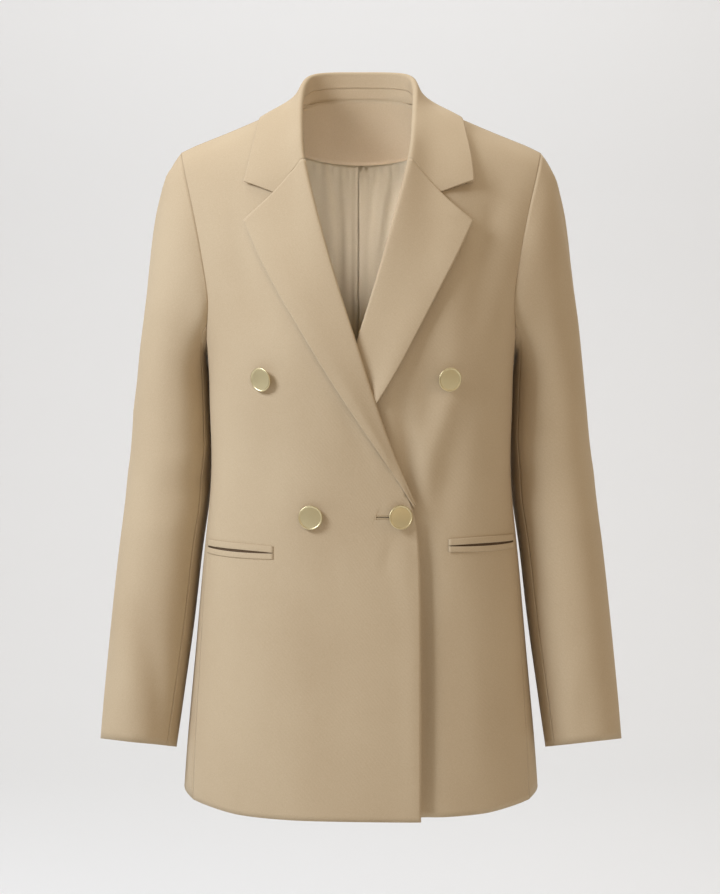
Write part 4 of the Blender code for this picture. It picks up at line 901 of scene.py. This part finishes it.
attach(pleat, "root")
print("pleat:", len(pleat.data.polygons), "faces")

# %% [markdown]
# ## The buttonhole
# A machine keyhole buttonhole: purl stitches wrap the cut edge on both sides, and a bar of
# stitches closes the end that takes no strain. The round end is hidden under the button. Each
# row of stitches is a bevelled curve laid on the cloth, with a wave for its turns of thread.

# %% Buttonhole stitches
HOLE_START, HOLE_END, HOLE_HEIGHT = 0.0152, 0.0290, -0.4110
HOLE_STEPS = 16
LIP_APART = 1.15 * MM
LIP_THICK = 1.3 * MM
BAR_THICK = 1.1 * MM
BAR_OUT = 0.4 * MM                  # past the start of the hole
BAR_HEIGHTS = (-2.2, -1, 1, 2.2)    # mm
STITCH_OUT = 0.1                    # of their thickness: their middle is this far off the cloth
STITCH_PITCH = 0.9 * MM
thread, tree, shader = new_material("buttonhole_thread")  # polyester thread, a shade deeper
place = add_node(tree, "ShaderNodeTexCoord").outputs["Object"]
turns = add_node(tree, "ShaderNodeTexWave", {"wave_type": "BANDS", "bands_direction": "X"},
                 Vector=place, Scale=BAND_REPEAT / STITCH_PITCH, Distortion=0.4)
relief = add_node(tree, "ShaderNodeBump", Height=turns.outputs["Fac"], Strength=0.5,
                  Distance=0.2 * MM)
tree.links.new(relief.outputs["Normal"], shader.inputs["Normal"])
shader.inputs["Base Color"].default_value = linear("#b9a583")
shader.inputs["Roughness"].default_value = 0.7


def stitched_line(name, places, thickness):
    """Stitches laid along places (x, z) on the upper front."""
    path = bpy.data.curves.new(name, "CURVE")
    path.dimensions = "3D"
    path.bevel_depth = thickness / 2
    path.bevel_resolution = 2
    path.use_fill_caps = True
    line = path.splines.new("POLY")
    line.points.add(len(places) - 1)
    for point, (x, z) in zip(line.points, places):
        place, _ = ray_back(pieces["front_right"], x, z, IN_FRONT)
        point.co = (x, place.y - STITCH_OUT * thickness, z, 1)
    stitches = add_object(name, applied(add_object(name + "_path", path), name))
    stitches.data.materials.append(thread)
    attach(stitches, "root")
    return stitches


run = np.linspace(HOLE_START, HOLE_END, HOLE_STEPS)
bar = [(HOLE_START - BAR_OUT, HOLE_HEIGHT + up * MM) for up in BAR_HEIGHTS]
trims = [
    stitched_line("buttonhole_upper_lip", [(x, HOLE_HEIGHT + LIP_APART) for x in run], LIP_THICK),
    stitched_line("buttonhole_lower_lip", [(x, HOLE_HEIGHT - LIP_APART) for x in run], LIP_THICK),
    stitched_line("buttonhole_bar", bar, BAR_THICK),
]
print("stitched lines:", [trim.name for trim in trims])

# %% [markdown]
# ## The pocket mouths
# Between the two welts of a pocket one looks into its bag, deep and in shade. That shade is
# painted:
# a narrow strip of dark brown, for the cotton bag in its own shadow, is all that is made. It
# follows the gap between the welts and lies on the front.

# %% Strips of painted shade in the pocket mouths
MOUTH_INSET = 1.5 * MM       # from the ends of the welts
MOUTH_STEPS = 24
MOUTH_HEIGHT = 4.4 * MM
MOUTH_OFF = 0.15 * MM        # in front of the front's cloth
MOUTH_THICK = 0.12 * MM
NEAR = 3 * MM                # how far along a welt counts as beside a place
# painted shade: a dark brown for the cotton bag as it looks in the shadow of the pocket mouth
pocket_shade_paint, tree, shader = new_material("pocketing_cotton")
shader.inputs["Base Color"].default_value = linear("#5b4833")
shader.inputs["Roughness"].default_value = 0.9


def pocket_mouth(side):
    """The strip of painted shade in the mouth of one pocket."""
    upper, lower = (read_points(pieces[f"pocket_{side}_{which}_welt"].data) for which in WELT_AREAS)
    start = max(upper[:, 0].min(), lower[:, 0].min()) + MOUTH_INSET
    end = min(upper[:, 0].max(), lower[:, 0].max()) - MOUTH_INSET
    shape = bmesh.new()
    bmesh.ops.create_grid(shape, x_segments=MOUTH_STEPS, y_segments=1, size=0.5)
    for vert in shape.verts:
        x = start + (end - start) * (vert.co.x + 0.5)
        top = upper[np.abs(upper[:, 0] - x) < NEAR][:, 2].min()
        bottom = lower[np.abs(lower[:, 0] - x) < NEAR][:, 2].max()
        z = (top + bottom) / 2 + MOUTH_HEIGHT * vert.co.y
        place, normal = ray_back(pieces[f"front_{side}"], x, z, IN_FRONT)
        vert.co = place + normal * MOUTH_OFF
    bmesh.ops.solidify(shape, geom=shape.faces, thickness=MOUTH_THICK)
    bmesh.ops.recalc_face_normals(shape, faces=shape.faces)
    mouth_shade = add_object(f"pocket_{side}_mouth", mesh_of(shape, f"pocket_{side}_mouth"))
    mouth_shade.data.materials.append(pocket_shade_paint)
    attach(mouth_shade, "root")
    return mouth_shade


mouths = {side: pocket_mouth(side) for side in SIDES}
print("pocket mouths:", [mouth_shade.name for mouth_shade in mouths.values()])

# %% [markdown]
# ## What each cloth piece was cut to
# The table of cuts gives each cloth piece's flat size and the pieces its seams hang from;
# here they are only counted.

print("sheets:", len(CLOTHS))

# %% [markdown]
# ## Buttons
# A flat plated disc with a fine raised rim, on a shank that goes through the cloth. The solid
# is a coarse one, so a profile is spun again with more steps, round the axis of the solid. A
# button on a shank never sits quite flat, so each leans a little its own way and is lifted
# just enough to stay clear of the cloth. Its shank still ends where the solid's does.

# %% Turned buttons
Turn = namedtuple("Turn", "radius height")    # mm; heights are from the top of the rim
PROFILE = (
    Turn(0.0, -0.4), Turn(10.0, -0.4), Turn(10.6, -0.5), Turn(10.8, -0.2), Turn(11.2, 0.0),
    Turn(11.8, 0.0), Turn(12.2, -0.5), Turn(12.1, -1.1), Turn(11.0, -1.8), Turn(2.0, -1.8),
)
SHANK_RADIUS = 2.0 * MM
SPIN_STEPS = 72
PIVOT_DEPTH = 2 * MM                          # below the face, where it turns on its shank
Lean = namedtuple("Lean", "tilt lift")        # tilt is added to the axis; lift in mm
LEANS = {
    "button_upper_right": Lean((-0.22, 0, -0.16), 2.2),
    "button_upper_left": Lean((0.25, 0, -0.10), 2.2),
    "button_lower_right": Lean((-0.08, 0, -0.02), 0.5),
    "button_fastened": Lean((0.20, 0, 0.06), 1.4),
}


def button_seat(node):
    """Centre of the solid's face, its outward axis, and the far end of its shank."""
    points = read_points(frame["nodes"][node].data)
    centre = points.mean(axis=0)
    _, _, axes = np.linalg.svd(points - centre)
    axis = axes[2] * (-1 if axes[2][1] > 0 else 1)
    along = (points - centre) @ axis
    return Vector(centre + axis * along.max()), Vector(axis), Vector(centre + axis * along.min())


def spun(profile, name):
    """The profile of (radius, height) spun round the z axis, as a closed bmesh."""
    shape = bmesh.new()
    verts = [shape.verts.new((radius, 0.0, height)) for radius, height in profile]
    edges = [shape.edges.new(pair) for pair in zip(verts, verts[1:])]
    bmesh.ops.spin(shape, geom=verts + edges, cent=(0, 0, 0), axis=(0, 0, 1), angle=math.tau,
                   steps=SPIN_STEPS, use_merge=True)
    bmesh.ops.remove_doubles(shape, verts=shape.verts, dist=MERGE)
    bmesh.ops.recalc_face_normals(shape, faces=shape.faces)
    return shape


for node, lean in sorted(LEANS.items()):
    face, axis, shank_end = button_seat(node)
    pivot = face - axis * PIVOT_DEPTH
    axis = (axis + Vector(lean.tilt)).normalized()
    face = pivot + axis * (PIVOT_DEPTH + lean.lift * MM)
    shank = (shank_end - face).dot(axis)
    profile = [(turn.radius * MM, turn.height * MM) for turn in PROFILE]
    shape = spun([*profile, (SHANK_RADIUS, shank), (0.0, shank)], node)
    turned = Vector((0, 0, 1)).rotation_difference(axis).to_matrix().to_4x4()
    shape.transform(Matrix.Translation(face) @ turned)
    button = add_object(node + "_turned", mesh_of(shape, node + "_turned"))
    button.data.shade_smooth()
    button.data.materials.append(plating)
    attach(button, "root")
    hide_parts(node)
    print(node, [round(v, 4) for v in face], [round(v, 2) for v in axis])

# %% [markdown]
# ## Floor
# A studio sweep is a sheet of pale paper that bends up from the floor to the wall, so that no
# line shows behind the jacket. Here its side view is drawn once and extruded sideways.

# %% Paper sweep
FLOOR = -1.05
FLOOR_FRONT, FLOOR_BACK = -4.0, 2.0    # y where the flat part ends
BEND = 1.2                             # radius of the bend
BEND_FROM, BEND_STEPS = 0.15, 10       # angle of its first point after the floor, and points
WALL_TOP = 4.0
SWEEP_LEFT, SWEEP_WIDE = -5.0, 10
side_view = [(FLOOR_FRONT, FLOOR), (FLOOR_BACK, FLOOR)]
for angle in np.linspace(BEND_FROM, math.pi / 2, BEND_STEPS):
    side_view.append((FLOOR_BACK + BEND * math.sin(angle), FLOOR + BEND - BEND * math.cos(angle)))
side_view.append((FLOOR_BACK + BEND, WALL_TOP))
shape = bmesh.new()
verts = [shape.verts.new((SWEEP_LEFT, y, z)) for y, z in side_view]
edges = [shape.edges.new(pair) for pair in zip(verts, verts[1:])]
wide = bmesh.ops.extrude_edge_only(shape, edges=edges)
far_verts = [part for part in wide["geom"] if isinstance(part, bmesh.types.BMVert)]
bmesh.ops.translate(shape, verts=far_verts, vec=(SWEEP_WIDE, 0, 0))
bmesh.ops.recalc_face_normals(shape, faces=shape.faces)
paper, tree, shader = new_material("studio_paper")
shader.inputs["Base Color"].default_value = linear("#e9ebec")
shader.inputs["Roughness"].default_value = 0.95
backdrop = add_object("sweep", mesh_of(shape, "sweep"))
backdrop.data.shade_smooth()
backdrop.data.materials.append(paper)
print("sweep:", len(backdrop.data.polygons), "faces")

# %% [markdown]
# ## Light
# One soft key light stands at the upper left, near enough for its light to fall off across
# the jacket, because that shade is what shows its roundness. Two weaker, warmer ones only
# open the shade. A very small one inside the neck lifts the lining, and one above and behind
# the jacket lights the wall, and its shoulders a little. The camera sees none of them.

# %% Lamps and room
Lamp = namedtuple("Lamp", "name place aim size power colour spread", defaults=(180,))
LAMPS = (
    Lamp("key", (-1.64, -1.17, 0.90), (0.0, 0.0, -0.22), 0.80, 46.5, "#e8f0ff"),
    Lamp("front", (0.9, -3.3, 0.9), (0.0, 0.0, -0.25), 1.8, 11.0, "#ffead4"),
    Lamp("far_side", (2.6, -1.4, 0.5), (0.1, 0.0, -0.30), 1.4, 8.0, "#ffe4cb"),
    Lamp("inside", (0.060, -0.042, -0.27), (0.034, 0.095, -0.056), 0.05, 0.092, "#f8f2f6", 70),
    Lamp("back_wall", (0.0, 0.9, 2.6), (0.0, 2.6, 0.0), 2.6, 72.0, "#f8f9fb"),
)
ROOM_COLOUR, ROOM_STRENGTH = "#ffecd4", 0.30
for lamp in LAMPS:
    light = bpy.data.lights.new(lamp.name, "AREA")
    light.size = lamp.size
    light.energy = lamp.power
    light.color = linear(lamp.colour)[:3]
    light.spread = math.radians(lamp.spread)
    towards = Vector(lamp.aim) - Vector(lamp.place)
    holder = add_object(lamp.name, light)
    holder.location = lamp.place
    holder.rotation_euler = towards.to_track_quat("-Z", "Y").to_euler()
    holder.visible_camera = False
bpy.context.scene.view_settings.view_transform = "Standard"
world = bpy.data.worlds.new("room")
world.use_nodes = True
background = world.node_tree.nodes["Background"]
background.inputs["Color"].default_value = linear(ROOM_COLOUR)
background.inputs["Strength"].default_value = ROOM_STRENGTH
bpy.context.scene.world = world
print("lamps:", [lamp.name for lamp in LAMPS])
